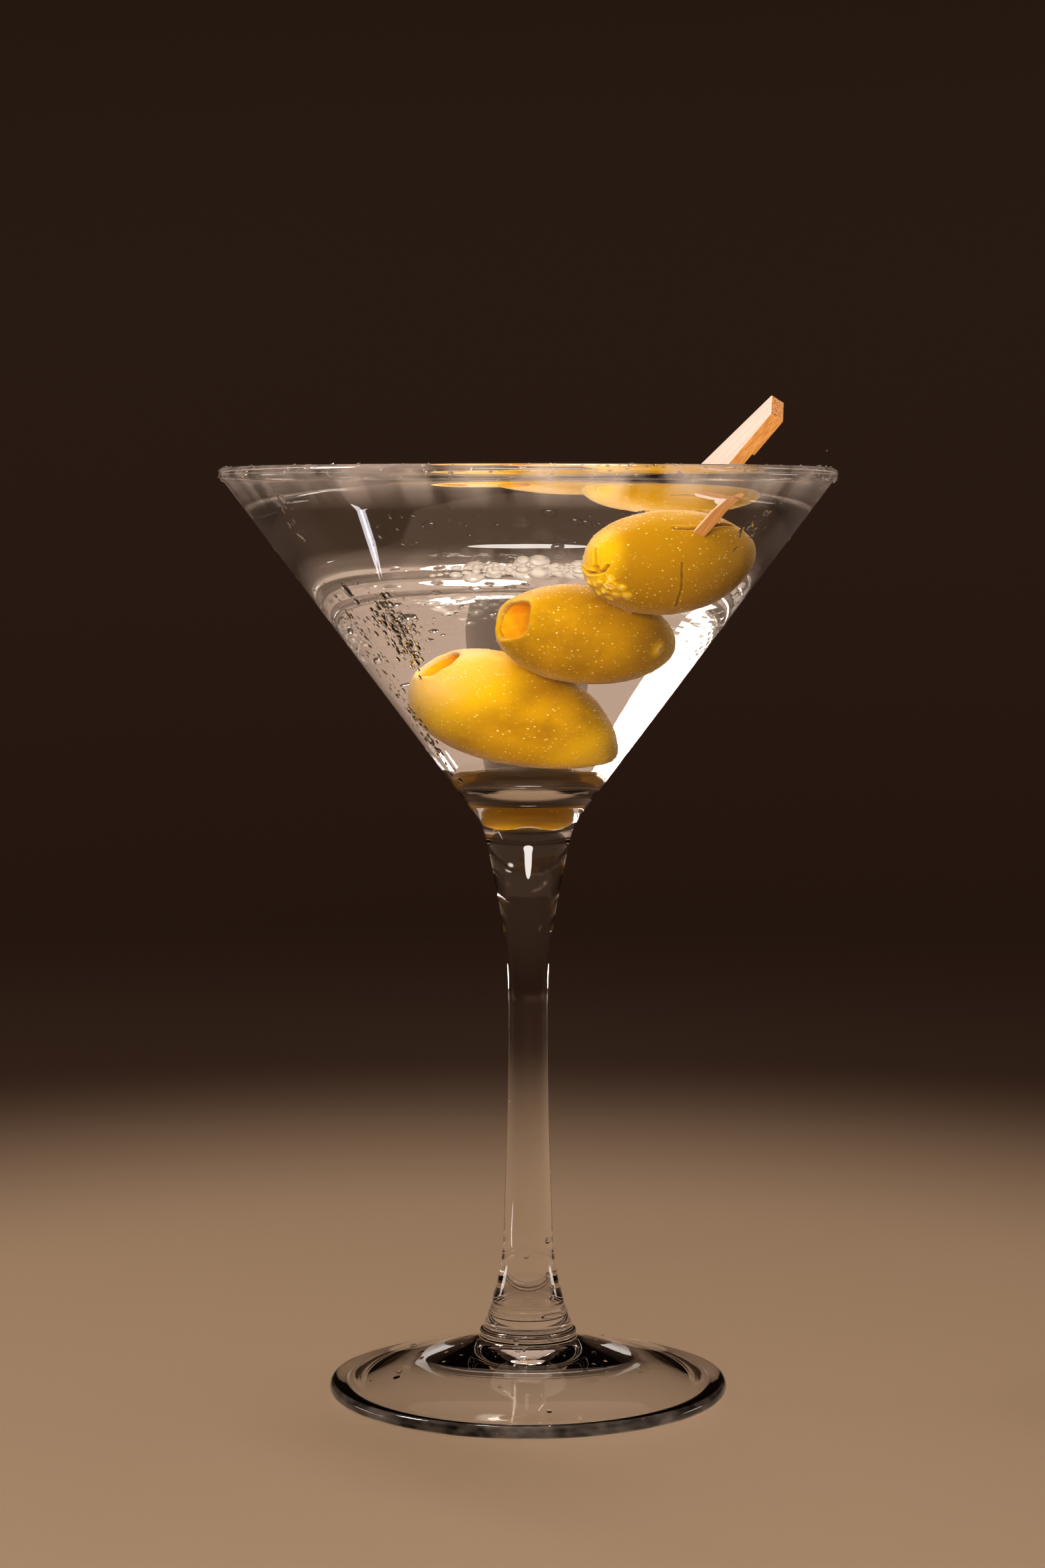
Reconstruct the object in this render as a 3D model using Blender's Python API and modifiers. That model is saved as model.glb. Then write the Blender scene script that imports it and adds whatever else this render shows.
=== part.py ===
"""Filled cone-bowl cocktail glass with three pitted olives on a flat-handled bamboo pick.

Metres, +Z up. The origin is on the glass's axis, at the plane the foot stands on.
The front of the drink, where the pit holes and the pick's handle show best, faces -Y.
"""

import math

import bmesh
import bpy
from mathutils import Matrix, Vector

MM = 0.001
GAP = 0.3 * MM                      # left between neighbours that touch on the real drink

# Glass: a straight cone bowl, a drawn stem and a shallow foot, all turned about Z.
GLASS_HEIGHT = 176.4 * MM
RIM_RADIUS = 58.2 * MM
BEAD_RADIUS = 1.45 * MM             # section of the rolled rim
WALL_SLOPE = 0.75                   # bowl radius gained per unit of height
WALL_THICKNESS = 1.7 * MM
BEAD_PROUD = 0.32 * MM              # the bead stands out from the bowl's outer wall
BOWL_FLOOR = 115.8 * MM             # lowest point inside the bowl
FLOOR_ROUND = 38.0 * MM             # radius of the dished floor
FLOOR_REACH = 9.5 * MM              # the dish ends here, and a fillet leads up to the wall
WALL_START = 15.2 * MM              # from here on the wall is straight
CONE_END = (10.1 * MM, 110.6 * MM)  # radius and height where the cone turns into the stem
NECK = (7.6 * MM, 104.2 * MM)
WAIST = (3.75 * MM, 74.0 * MM)      # thinnest part of the stem
ANKLE = (4.74 * MM, 28.8 * MM)
STEM_FOOT = (9.2 * MM, 11.0 * MM)
FOOT_SHOULDER = (13.5 * MM, 8.8 * MM)
FOOT_RIM = (37.2 * MM, 2.5 * MM)    # where the foot's top meets its rounded edge
FOOT_RADIUS = 38.3 * MM
RING_OUTER = 37.2 * MM              # flat ring under the foot that carries the glass
RING_INNER = 33.5 * MM
HOLLOW_SHOULDER = (13.5 * MM, 5.6 * MM)     # the underside follows the top to here
HOLLOW_HEIGHT = 6.4 * MM            # and rises to this on the axis
GLASS_STEPS = 40

# Drink
DRINK_LEVEL = 174.6 * MM

# Pick: the shaft's centre line passes PICK_POINT; distances along it count from there.
PICK_POINT = Vector((24.27, -17.2, 165.33)) * MM
PICK_DIRECTION = Vector((0.586, -0.558, 0.588)).normalized()
PICK_FACE = Vector((-0.807, -0.333, 0.488)).normalized()     # way the broad pale face looks
SHAFT_WIDTH = 1.8 * MM
SHAFT_END = -49.0 * MM              # inside the lowest olive
POINT_LENGTH = 5.0 * MM
BACK_SHOULDER = 13.4 * MM           # the handle is at its full reach from here on its straight edge
FRONT_SHOULDER = 19.3 * MM          # and from here on its slanting edge
HANDLE_END = 33.9 * MM
HANDLE_BACK = 4.8 * MM              # reach of the handle's straight edge from the centre line
HANDLE_FRONT = 3.9 * MM             # reach of its slanting edge at the shoulder
HANDLE_TIP = 0.6 * MM               # and at the tip
SHOULDER_RUN = 1.6 * MM
PICK_THICKNESS = 2.4 * MM
BUTT_START = 25.7 * MM              # the handle's end is thicker from here
BUTT_EXTRA = 0.45 * MM

# Olives: half length, half width, centre, and the way the pitted end looks.
OLIVES = {
    "olive_top": {
        "half_length": 15.6 * MM,
        "half_width": 10.85 * MM,
        "centre": Vector((22.6, -12.0, 164.4)) * MM,
        "pitted_end": Vector((-0.82, -0.572, 0.0)),
        "pit_radius": 2.3 * MM,
    },
    "olive_middle": {
        "half_length": 14.4 * MM,
        "half_width": 10.2 * MM,
        "centre": Vector((8.3, -1.8, 151.6)) * MM,
        "pitted_end": Vector((-0.815, -0.54, 0.2)),
        "pit_radius": 4.1 * MM,
    },
    "olive_bottom": {
        "half_length": 15.5 * MM,
        "half_width": 10.3 * MM,
        "centre": Vector((-2.1, 9.5, 137.2)) * MM,
        "pitted_end": Vector((-0.712, -0.065, 0.7)),
        "pit_radius": 3.5 * MM,
    },
}
OLIVE_TAPER = 0.05                  # the pitted end is a little blunter than the other
PIT_REACH = 0.3                     # the pit cavity passes the middle by this share
OLIVE_STEPS = 20
OLIVE_RINGS = 14
PIT_SIDES = 14

COLOURS = {                         # base colour, roughness, transmission
    "glass": ((0.96, 0.98, 0.98), 0.02, 1.0),
    "drink": ((0.95, 0.94, 0.88), 0.02, 1.0),
    "olive": ((0.58, 0.43, 0.05), 0.42, 0.0),
    "bamboo": ((0.83, 0.62, 0.38), 0.60, 0.0),
}


def clear_scene():
    for item in list(bpy.data.objects):
        bpy.data.objects.remove(item, do_unlink=True)


def new_collection(name):
    made = bpy.data.collections.new(name)
    bpy.context.scene.collection.children.link(made)
    return made


def new_material(name):
    colour, roughness, transmission = COLOURS[name]
    made = bpy.data.materials.new(name)
    made.use_nodes = True
    shader = made.node_tree.nodes["Principled BSDF"]
    shader.inputs["Base Color"].default_value = (*colour, 1.0)
    shader.inputs["Roughness"].default_value = roughness
    shader.inputs["Metallic"].default_value = 0.0
    shader.inputs["Transmission Weight"].default_value = transmission
    return made


def bezier(start, first, second, end, parts):
    """Points of a cubic from start (left out) to end."""
    points = []
    for step in range(1, parts + 1):
        t = step / parts
        weights = ((1 - t) ** 3, 3 * t * (1 - t) ** 2, 3 * t * t * (1 - t), t ** 3)
        corners = (start, first, second, end)
        points.append(tuple(sum(w * c[i] for w, c in zip(weights, corners)) for i in (0, 1)))
    return points


def arc(centre, radius, first, last, parts):
    """Points on a circle from one angle to another, both ends in."""
    points = []
    for step in range(parts + 1):
        angle = first + (last - first) * step / parts
        x = centre[0] + radius * math.cos(angle)
        points.append((x, centre[1] + radius * math.sin(angle)))
    return points


# The bowl's wall: its section direction, outward normal and distance from the bead's centre.
WALL_LEAN = math.atan(WALL_SLOPE)
BEAD_CENTRE = (RIM_RADIUS - BEAD_RADIUS, GLASS_HEIGHT - BEAD_RADIUS)
OUTER_OFFSET = BEAD_RADIUS - BEAD_PROUD
INNER_OFFSET = OUTER_OFFSET - WALL_THICKNESS


def wall_radius(height, offset):
    """Radius of the wall line that lies offset outwards of the bead's centre."""
    at_centre = BEAD_CENTRE[0] + offset / math.cos(WALL_LEAN)
    return at_centre + WALL_SLOPE * (height - BEAD_CENTRE[1])


def bead_angle(offset, radius):
    """Direction, from the bead's centre, of the point where a circle there meets that line."""
    return -WALL_LEAN - math.acos(offset / radius)


def bowl_floor(offset, floor, parts):
    """Dished floor out from the axis, then a fillet up to the straight wall."""
    lean = math.asin(FLOOR_REACH / FLOOR_ROUND)
    dish = arc((0.0, floor + FLOOR_ROUND), FLOOR_ROUND, -math.pi / 2, lean - math.pi / 2, 2)
    start = dish[-1]
    height_at = BEAD_CENTRE[1] - wall_radius(BEAD_CENTRE[1], offset) / WALL_SLOPE
    end = (WALL_START, height_at + WALL_START / WALL_SLOPE)
    corner = (height_at - start[1] + math.tan(lean) * start[0]) / (math.tan(lean) - 1 / WALL_SLOPE)
    corner_point = (corner, height_at + corner / WALL_SLOPE)
    pulls = [tuple(0.4 * side[i] + 0.6 * corner_point[i] for i in (0, 1)) for side in (start, end)]
    return [(0.0, floor)] + dish[1:] + bezier(start, pulls[0], pulls[1], end, parts)


def glass_profile():
    """Up the inside, over the bead, down the outside and in under the foot."""
    points = bowl_floor(INNER_OFFSET, BOWL_FLOOR, 4)
    first = bead_angle(INNER_OFFSET, BEAD_RADIUS) + 2 * math.pi
    last = bead_angle(OUTER_OFFSET, BEAD_RADIUS)
    points += arc(BEAD_CENTRE, BEAD_RADIUS, first, last, 10)
    cone_end = (wall_radius(CONE_END[1], OUTER_OFFSET), CONE_END[1])
    points.append(cone_end)
    points += bezier(cone_end, (8.35 * MM, 108.2 * MM), (7.95 * MM, 106.0 * MM), NECK, 5)
    points += bezier(NECK, (5.6 * MM, 94.2 * MM), (3.75 * MM, 87.0 * MM), WAIST, 6)
    points += bezier(WAIST, (3.70 * MM, 58.0 * MM), (4.35 * MM, 42.0 * MM), ANKLE, 5)
    points += bezier(ANKLE, (5.1 * MM, 23.0 * MM), (7.0 * MM, 17.5 * MM), STEM_FOOT, 5)
    points += bezier(STEM_FOOT, (10.0 * MM, 9.6 * MM), (11.4 * MM, 9.4 * MM), FOOT_SHOULDER, 3)
    points += bezier(FOOT_SHOULDER, (21.0 * MM, 6.5 * MM), (30.0 * MM, 3.4 * MM), FOOT_RIM, 6)
    edge_top = (FOOT_RADIUS, FOOT_RIM[1] - 0.3 * MM)
    edge_low = (FOOT_RADIUS, 0.5 * MM)
    points += bezier(FOOT_RIM, edge_top, edge_low, (RING_OUTER, 0.0), 5)
    points.append((RING_INNER, 0.0))
    hollow_top = (0.0, HOLLOW_HEIGHT)
    points += bezier((RING_INNER, 0.0), (30.0 * MM, 1.9 * MM), (20.5 * MM, 4.3 * MM), HOLLOW_SHOULDER, 4)
    points += bezier(HOLLOW_SHOULDER, (10.5 * MM, 6.2 * MM), (5.0 * MM, HOLLOW_HEIGHT), hollow_top, 3)
    return points


def drink_profile():
    """Flat surface, then down beside the bead and the bowl's wall, and in to the axis."""
    offset = INNER_OFFSET - GAP
    radius = BEAD_RADIUS + GAP
    first = math.pi + math.asin((BEAD_CENTRE[1] - DRINK_LEVEL) / radius)
    beside_bead = arc(BEAD_CENTRE, radius, first, bead_angle(offset, radius) + 2 * math.pi, 3)
    floor = bowl_floor(offset, BOWL_FLOOR + GAP, 4)
    return [(0.0, DRINK_LEVEL)] + beside_bead + floor[::-1]


def olive_profile(half_length, half_width):
    points = []
    for ring in range(OLIVE_RINGS + 1):
        angle = math.pi * ring / OLIVE_RINGS
        radius = half_width * math.sin(angle) * (1 + OLIVE_TAPER * math.cos(angle))
        points.append((radius, half_length * math.cos(angle)))
    points[0] = (0.0, half_length)
    points[-1] = (0.0, -half_length)
    return points


def turned(name, profile, steps, collection):
    """A profile at +X, listed down its outer side, turned about Z."""
    mesh = bpy.data.meshes.new(name)
    edges = [(i, i + 1) for i in range(len(profile) - 1)]
    mesh.from_pydata([(x, 0.0, z) for x, z in profile], edges, [])
    made = bpy.data.objects.new(name, mesh)
    collection.objects.link(made)
    screw = made.modifiers.new("turn", "SCREW")
    screw.axis = "Z"
    screw.angle = 2 * math.pi
    screw.steps = steps
    screw.render_steps = steps
    screw.use_merge_vertices = True
    screw.merge_threshold = 0.00002
    screw.use_smooth_shade = True
    return made


def mark_cutter(item):
    item.hide_render = True
    item.display_type = "WIRE"


def subtract(item, cutter, label):
    cut = item.modifiers.new(label, "BOOLEAN")
    cut.operation = "DIFFERENCE"
    cut.solver = "EXACT"
    cut.object = cutter


def frame_along(direction, point):
    """Matrix whose local Z runs along direction from point."""
    turn = direction.to_track_quat("Z", "Y").to_matrix().to_4x4()
    return Matrix.Translation(point) @ turn


def pick_frame():
    """Local Y runs to the handle's end, local Z out of the pale face."""
    along = PICK_DIRECTION
    face = (PICK_FACE - PICK_FACE.dot(along) * along).normalized()
    across = along.cross(face)
    turn = Matrix((across, along, face)).transposed().to_4x4()
    return Matrix.Translation(PICK_POINT) @ turn


def pick_outline(grow):
    """Shaft, shoulder and handle seen on the pale face, each side moved out by grow."""
    half = SHAFT_WIDTH / 2 + grow
    tip = SHAFT_END - grow
    point = SHAFT_WIDTH / 4 + grow
    front = FRONT_SHOULDER - grow
    back = BACK_SHOULDER - grow
    end = HANDLE_END + grow
    return [
        (-point, tip),
        (point, tip),
        (half, tip + POINT_LENGTH),
        (half, front - SHOULDER_RUN),
        (HANDLE_FRONT + grow, front),
        (HANDLE_TIP + grow, end),
        (-HANDLE_BACK - grow, end),
        (-HANDLE_BACK - grow, back),
        (-half, back - SHOULDER_RUN),
        (-half, tip + POINT_LENGTH),
    ]


def butt_outline(grow):
    """The thicker end of the handle, on the same edges as the whole handle."""
    run = (BUTT_START - FRONT_SHOULDER) / (HANDLE_END - FRONT_SHOULDER)
    front = HANDLE_FRONT + (HANDLE_TIP - HANDLE_FRONT) * run + grow
    end = HANDLE_END + grow
    back = -HANDLE_BACK - grow
    return [(back, BUTT_START - grow), (front, BUTT_START - grow), (HANDLE_TIP + grow, end), (back, end)]


def slab(name, outline, low, high, collection):
    """Flat outline as a filled curve, given its thickness and made a mesh in the pick's frame."""
    curve = bpy.data.curves.new(name, "CURVE")
    curve.dimensions = "2D"
    curve.fill_mode = "BOTH"
    curve.extrude = (high - low) / 2
    spline = curve.splines.new("POLY")
    spline.points.add(len(outline) - 1)
    for knot, (x, y) in zip(spline.points, outline):
        knot.co = (x, y, 0.0, 1.0)
    spline.use_cyclic_u = True
    drawn = bpy.data.objects.new(name + "_outline", curve)
    collection.objects.link(drawn)
    bpy.context.view_layer.update()
    evaluated = drawn.evaluated_get(bpy.context.evaluated_depsgraph_get())
    mesh = bpy.data.meshes.new_from_object(evaluated)
    bpy.data.objects.remove(drawn, do_unlink=True)
    bpy.data.curves.remove(curve)
    mesh.name = name
    mesh.transform(Matrix.Translation((0.0, 0.0, (high + low) / 2)))
    body = bmesh.new()
    body.from_mesh(mesh)
    bmesh.ops.remove_doubles(body, verts=body.verts, dist=0.00001)
    bmesh.ops.recalc_face_normals(body, faces=body.faces)
    body.to_mesh(mesh)
    body.free()
    made = bpy.data.objects.new(name, mesh)
    made.matrix_world = pick_frame()
    collection.objects.link(made)
    return made


def pick_body(name, grow, collection, cutters):
    """Board and thicker butt joined into one piece."""
    half = PICK_THICKNESS / 2
    body = slab(name, pick_outline(grow), -half - grow, half + grow, collection)
    top = half + grow - 0.1 * MM
    butt = slab(name + "_butt", butt_outline(grow), -half - BUTT_EXTRA - grow, top, cutters)
    mark_cutter(butt)
    join = body.modifiers.new("butt", "BOOLEAN")
    join.operation = "UNION"
    join.solver = "EXACT"
    join.object = butt
    return body


def pit_cutter(name, olive, collection):
    """Cylinder from outside the pitted end to a little past the olive's middle."""
    reach = olive["half_length"]
    low = -PIT_REACH * reach
    high = reach + 2 * MM
    mesh = bpy.data.meshes.new(name)
    body = bmesh.new()
    bmesh.ops.create_cone(
        body,
        cap_ends=True,
        segments=PIT_SIDES,
        radius1=olive["pit_radius"],
        radius2=olive["pit_radius"],
        depth=high - low,
        matrix=Matrix.Translation((0.0, 0.0, (high + low) / 2)),
    )
    body.to_mesh(mesh)
    body.free()
    made = bpy.data.objects.new(name, mesh)
    collection.objects.link(made)
    made.matrix_world = frame_along(olive["pitted_end"], olive["centre"])
    mark_cutter(made)
    return made


def make_glass(parts):
    glass = turned("glass", glass_profile(), GLASS_STEPS, parts)
    glass.data.materials.append(new_material("glass"))


def make_pick(parts, cutters):
    pick = pick_body("pick", 0.0, parts, cutters)
    pick.data.materials.append(new_material("bamboo"))
    grown = pick_body("pick_cutter", GAP, cutters, cutters)
    mark_cutter(grown)
    return grown


def make_olives(parts, cutters, pick_cutter):
    """Each olive has its pit cavity and the pick's way through it."""
    skin = new_material("olive")
    grown = []
    for name, olive in OLIVES.items():
        place = frame_along(olive["pitted_end"], olive["centre"])
        profile = olive_profile(olive["half_length"], olive["half_width"])
        body = turned(name, profile, OLIVE_STEPS, parts)
        body.matrix_world = place
        body.data.materials.append(skin)
        subtract(body, pit_cutter(name + "_pit", olive, cutters), "pit")
        subtract(body, pick_cutter, "pick")
        profile = olive_profile(olive["half_length"] + GAP, olive["half_width"] + GAP)
        around = turned(name + "_cutter", profile, OLIVE_STEPS, cutters)
        around.matrix_world = place
        mark_cutter(around)
        grown.append(around)
    return grown


def make_drink(parts, around):
    drink = turned("drink", drink_profile(), GLASS_STEPS, parts)
    drink.data.materials.append(new_material("drink"))
    for cutter in around:
        subtract(drink, cutter, cutter.name)


def main():
    clear_scene()
    parts = new_collection("cocktail_in_glass")
    cutters = new_collection("cutters")
    make_glass(parts)
    pick_cutter = make_pick(parts, cutters)
    olive_cutters = make_olives(parts, cutters, pick_cutter)
    make_drink(parts, olive_cutters + [pick_cutter])
    bpy.context.view_layer.update()


main()
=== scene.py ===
# %% [markdown]
# # A clear cocktail with three olives on a bamboo pick
#
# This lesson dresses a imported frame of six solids: a stemmed glass, the drink in it, three olives and the
# pick that carries them. Almost everything here is clear, so what the eye sees is what the glass and the
# drink bend into view: soft lamps, the dark wall, and the olives, magnified. The order is camera, room and
# lamps first, then one piece after another, each in its own cell.

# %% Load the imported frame
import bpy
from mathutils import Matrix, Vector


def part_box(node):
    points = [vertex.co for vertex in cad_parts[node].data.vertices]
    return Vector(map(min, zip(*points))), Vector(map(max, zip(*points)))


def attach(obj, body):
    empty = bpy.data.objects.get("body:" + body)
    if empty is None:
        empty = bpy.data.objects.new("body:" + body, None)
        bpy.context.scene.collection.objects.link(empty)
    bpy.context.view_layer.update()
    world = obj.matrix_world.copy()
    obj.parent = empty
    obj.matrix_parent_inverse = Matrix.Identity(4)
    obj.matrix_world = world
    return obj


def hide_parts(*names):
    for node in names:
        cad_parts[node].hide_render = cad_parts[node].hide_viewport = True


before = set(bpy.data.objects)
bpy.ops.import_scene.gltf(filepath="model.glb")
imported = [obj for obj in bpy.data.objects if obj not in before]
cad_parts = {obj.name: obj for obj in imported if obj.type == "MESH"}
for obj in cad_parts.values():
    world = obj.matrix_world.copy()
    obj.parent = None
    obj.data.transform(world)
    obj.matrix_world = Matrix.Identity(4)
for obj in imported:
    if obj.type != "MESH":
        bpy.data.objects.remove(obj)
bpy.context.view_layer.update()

# %% Modules and the unit
import math
import random

import bmesh
import bpy
import numpy as np
from mathutils import Matrix, Quaternion, Vector, noise

MM = 0.001
BODY = "root"

# %% [markdown]
# ## Camera
#
# The camera stands two thirds of a metre in front of the glass, a little below its rim, and looks down by
# a few degrees. From so low it sees the underside of the drink's surface, which acts as a mirror. A long
# lens keeps the rim's ellipse as flat as it should be. It could be aimed with a constraint, but a plain
# tilt about X is easier to read, and nothing has to be evaluated first.

# %% Camera
CAMERA_PLACE = Vector((-1.07, -660.0, 167.2)) * MM
CAMERA_DIP = math.radians(4.384)
FILM_SIDE = 36.0            # millimetres, as the lens is
CAMERA_LENS = 80.05
NEAREST_SEEN = 0.01

camera_data = bpy.data.cameras.new("camera")
camera_data.sensor_fit = "VERTICAL"
camera_data.sensor_width = FILM_SIDE
camera_data.sensor_height = FILM_SIDE
camera_data.lens = CAMERA_LENS
camera_data.clip_start = NEAREST_SEEN
camera = bpy.data.objects.new("camera", camera_data)
camera.location = CAMERA_PLACE
camera.rotation_euler = (math.pi / 2 - CAMERA_DIP, 0.0, 0.0)
bpy.context.scene.collection.objects.link(camera)
bpy.context.scene.camera = camera
print("camera at", camera.location[:])

# %% [markdown]
# ## Small tools for sections
#
# Glass, drink, olives and the room are all turned shapes, as they would be on a lathe: a section on one
# side of the axis, spun once round. Smooth stretches of a section are Bezier curves and arcs, so each is
# set by a few points and can be made as fine as the surface needs. The spin merges its last copy with its
# first. The points on the axis are merged after it, and only then are the normals made to agree.


# %% Section tools
SAME_POINT = 0.001 * MM     # corners closer than this are merged


def bezier(start, first, second, end, parts):
    """Points of a cubic from start (left out) to end."""
    points = []
    for step in range(1, parts + 1):
        t = step / parts
        weights = ((1 - t) ** 3, 3 * t * (1 - t) ** 2, 3 * t * t * (1 - t), t ** 3)
        corners = (start, first, second, end)
        points.append(tuple(sum(w * c[i] for w, c in zip(weights, corners)) for i in (0, 1)))
    return points


def straight(start, end, parts):
    """Points on a line from start (left out) to end."""
    return [
        (start[0] + (end[0] - start[0]) * k / parts, start[1] + (end[1] - start[1]) * k / parts)
        for k in range(1, parts + 1)
    ]


def arc(centre, radius, first, last, parts):
    """Points on a circle from one angle to another, both ends in."""
    points = []
    for step in range(parts + 1):
        angle = first + (last - first) * step / parts
        points.append((centre[0] + radius * math.cos(angle), centre[1] + radius * math.sin(angle)))
    return points


def spun(section, steps):
    """A bmesh: the section, given as radius and height, spun once round Z in so many steps."""
    work = bmesh.new()
    corners = [work.verts.new((radius, 0.0, height)) for radius, height in section]
    edges = [work.edges.new(pair) for pair in zip(corners, corners[1:])]
    bmesh.ops.spin(
        work,
        geom=corners + edges,
        cent=(0.0, 0.0, 0.0),
        axis=(0.0, 0.0, 1.0),
        angle=2 * math.pi,
        steps=steps,
        use_merge=True,
    )
    bmesh.ops.remove_doubles(work, verts=work.verts, dist=SAME_POINT)
    bmesh.ops.recalc_face_normals(work, faces=work.faces)
    return work


def finished(work, name, material, smooth=True):
    """Turns a bmesh into an object in the scene."""
    mesh = bpy.data.meshes.new(name)
    work.to_mesh(mesh)
    work.free()
    mesh.materials.append(material)
    if smooth:
        mesh.shade_smooth()
    piece = bpy.data.objects.new(name, mesh)
    bpy.context.scene.collection.objects.link(piece)
    print(f"{name}: {len(mesh.vertices)} vertices, {len(mesh.polygons)} faces")
    return piece


# %% [markdown]
# ## Small tools for materials
#
# Each material below is a Principled shader with a few nodes in front of it. Two short helpers keep those
# cells readable: one starts a material, one adds a node and sets its inputs by name.


# %% Material tools
def new_material(name):
    """A material with only its Principled shader, which is already linked to the output."""
    made = bpy.data.materials.new(name)
    made.use_nodes = True
    return made, made.node_tree, made.node_tree.nodes["Principled BSDF"]


def add_node(tree, kind, inputs=None, **settings):
    """A node of this kind, its properties set from settings and its inputs from a dictionary."""
    node = tree.nodes.new(kind)
    for key, value in settings.items():
        setattr(node, key, value)
    for key, value in (inputs or {}).items():
        node.inputs[key].default_value = value
    return node


def blend_colours(tree, share, first, second):
    """The output of a colour Mix node. share, first and second are sockets or plain values."""
    mix = add_node(tree, "ShaderNodeMix", data_type="RGBA")
    for socket, value in ((mix.inputs[0], share), (mix.inputs[6], first), (mix.inputs[7], second)):
        if isinstance(value, bpy.types.NodeSocket):
            tree.links.new(value, socket)
        else:
            socket.default_value = value if isinstance(value, float) else (*value, 1.0)
    return mix.outputs[2]


def ramp_between(tree, value, low, high):
    """A Map Range output that goes smoothly from 0 at low to 1 at high."""
    ramp = add_node(tree, "ShaderNodeMapRange", {"From Min": low, "From Max": high})
    ramp.interpolation_type = "SMOOTHSTEP"
    tree.links.new(value, ramp.inputs["Value"])
    return ramp.outputs["Result"]


# %% [markdown]
# ## Room
#
# Clear things need something to show against. A round room does that from every side alike: a plain pale
# floor that curves up into a plain, darker warm wall. It is one spun section, and the change from floor to
# wall is a smooth ramp over the distance from the middle, so there is no line behind the glass.

# %% Room
FLOOR_DROP = 0.1 * MM       # keeps the floor clear of the foot's flat ring
SWEEP_START = 0.75
SWEEP_RADIUS = 0.5
WALL_TOP = 1.3
PALE_REACH = 0.15           # the floor is fully pale to here
DARK_REACH = 0.42           # and has the wall's colour from here on
FLOOR_COLOUR = (0.32, 0.245, 0.18)
WALL_COLOUR = (0.055, 0.034, 0.024)
ROOM_STEPS = 96


def make_room():
    """Floor, sweep and wall as one turned shape, in one material."""
    sweep_centre = (SWEEP_START, SWEEP_RADIUS - FLOOR_DROP)
    section = [(0.0, -FLOOR_DROP)] + straight((0.0, -FLOOR_DROP), (SWEEP_START, -FLOOR_DROP), 6)
    section += arc(sweep_centre, SWEEP_RADIUS, -math.pi / 2, 0.0, 16)[1:]
    section += [(SWEEP_START + SWEEP_RADIUS, WALL_TOP)]
    material, tree, shader = new_material("room_paper")
    place = add_node(tree, "ShaderNodeTexCoord").outputs["Object"]
    flat = add_node(tree, "ShaderNodeVectorMath", operation="MULTIPLY")
    flat.inputs[1].default_value = (1.0, 1.0, 0.0)
    tree.links.new(place, flat.inputs[0])
    reach = add_node(tree, "ShaderNodeVectorMath", operation="LENGTH")
    tree.links.new(flat.outputs["Vector"], reach.inputs[0])
    darker = ramp_between(tree, reach.outputs["Value"], PALE_REACH, DARK_REACH)
    colour = blend_colours(tree, darker, FLOOR_COLOUR, WALL_COLOUR)
    tree.links.new(colour, shader.inputs["Base Color"])
    shader.inputs["Roughness"].default_value = 0.6
    shader.inputs["Specular IOR Level"].default_value = 0.3
    return finished(spun(section, ROOM_STEPS), "room", material)


room = make_room()

# %% [markdown]
# ## Light
#
# The drink's far wall turns most of what the camera sees up and out through the surface, so the lamps
# that draw the drink hang above: a soft one to the left, whose picture fills the lower right of the bowl,
# two faint ones over the top, and a small bright one to the right for the sparkle. A panel and a low fill
# in front light the olives and the pick. They would show as pale shapes in the glass, so they are hidden
# from the rays that would show them. Three thin lamps behind, each smaller than the last, add up to a
# line that is bright in its middle and fades out. A strip close to the left lays the streak on the bowl,
# and a low pair at the sides draws the edges of stem and foot. An area lamp could be a rectangle, but an
# ellipse leaves no corners in the reflections.

# %% Light
AIM = Vector((0.0, 0.0, 145.0)) * MM
DAYLIGHT = (1.0, 0.93, 0.86)
CANDLE_WARM = (1.0, 0.91, 0.76)
EDGE_WHITE = (1.0, 0.95, 0.92)
GLOW_SIZES = ((0.110, 0.036), (0.080, 0.026), (0.050, 0.016))
GLOW_POWER = 1.5            # watts for each lamp's width times its height
ROOM_LIGHT = (1.0, 0.76, 0.62, 1.0)
ROOM_STRENGTH = 0.42


def soft_lamp(name, direction, distance, size, power, colour, roll=0.0, hidden_from=()):
    """An elliptical area lamp that stands off in this direction and faces the bowl.

    distance and size are in metres, power in watts and roll in degrees. hidden_from lists the kinds of
    ray that don't meet the lamp, as well as the camera's."""
    lamp = bpy.data.lights.new(name, "AREA")
    lamp.shape = "ELLIPSE"
    lamp.size, lamp.size_y = size
    lamp.energy = power
    lamp.color = colour
    holder = bpy.data.objects.new(name, lamp)
    way = Vector(direction).normalized()
    rolled = Quaternion((0.0, 0.0, 1.0), math.radians(roll))
    holder.location = AIM + way * distance
    holder.rotation_mode = "QUATERNION"
    holder.rotation_quaternion = way.to_track_quat("Z", "Y") @ rolled
    holder.visible_camera = False
    for kind in hidden_from:
        setattr(holder, "visible_" + kind, False)
    bpy.context.scene.collection.objects.link(holder)


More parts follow.
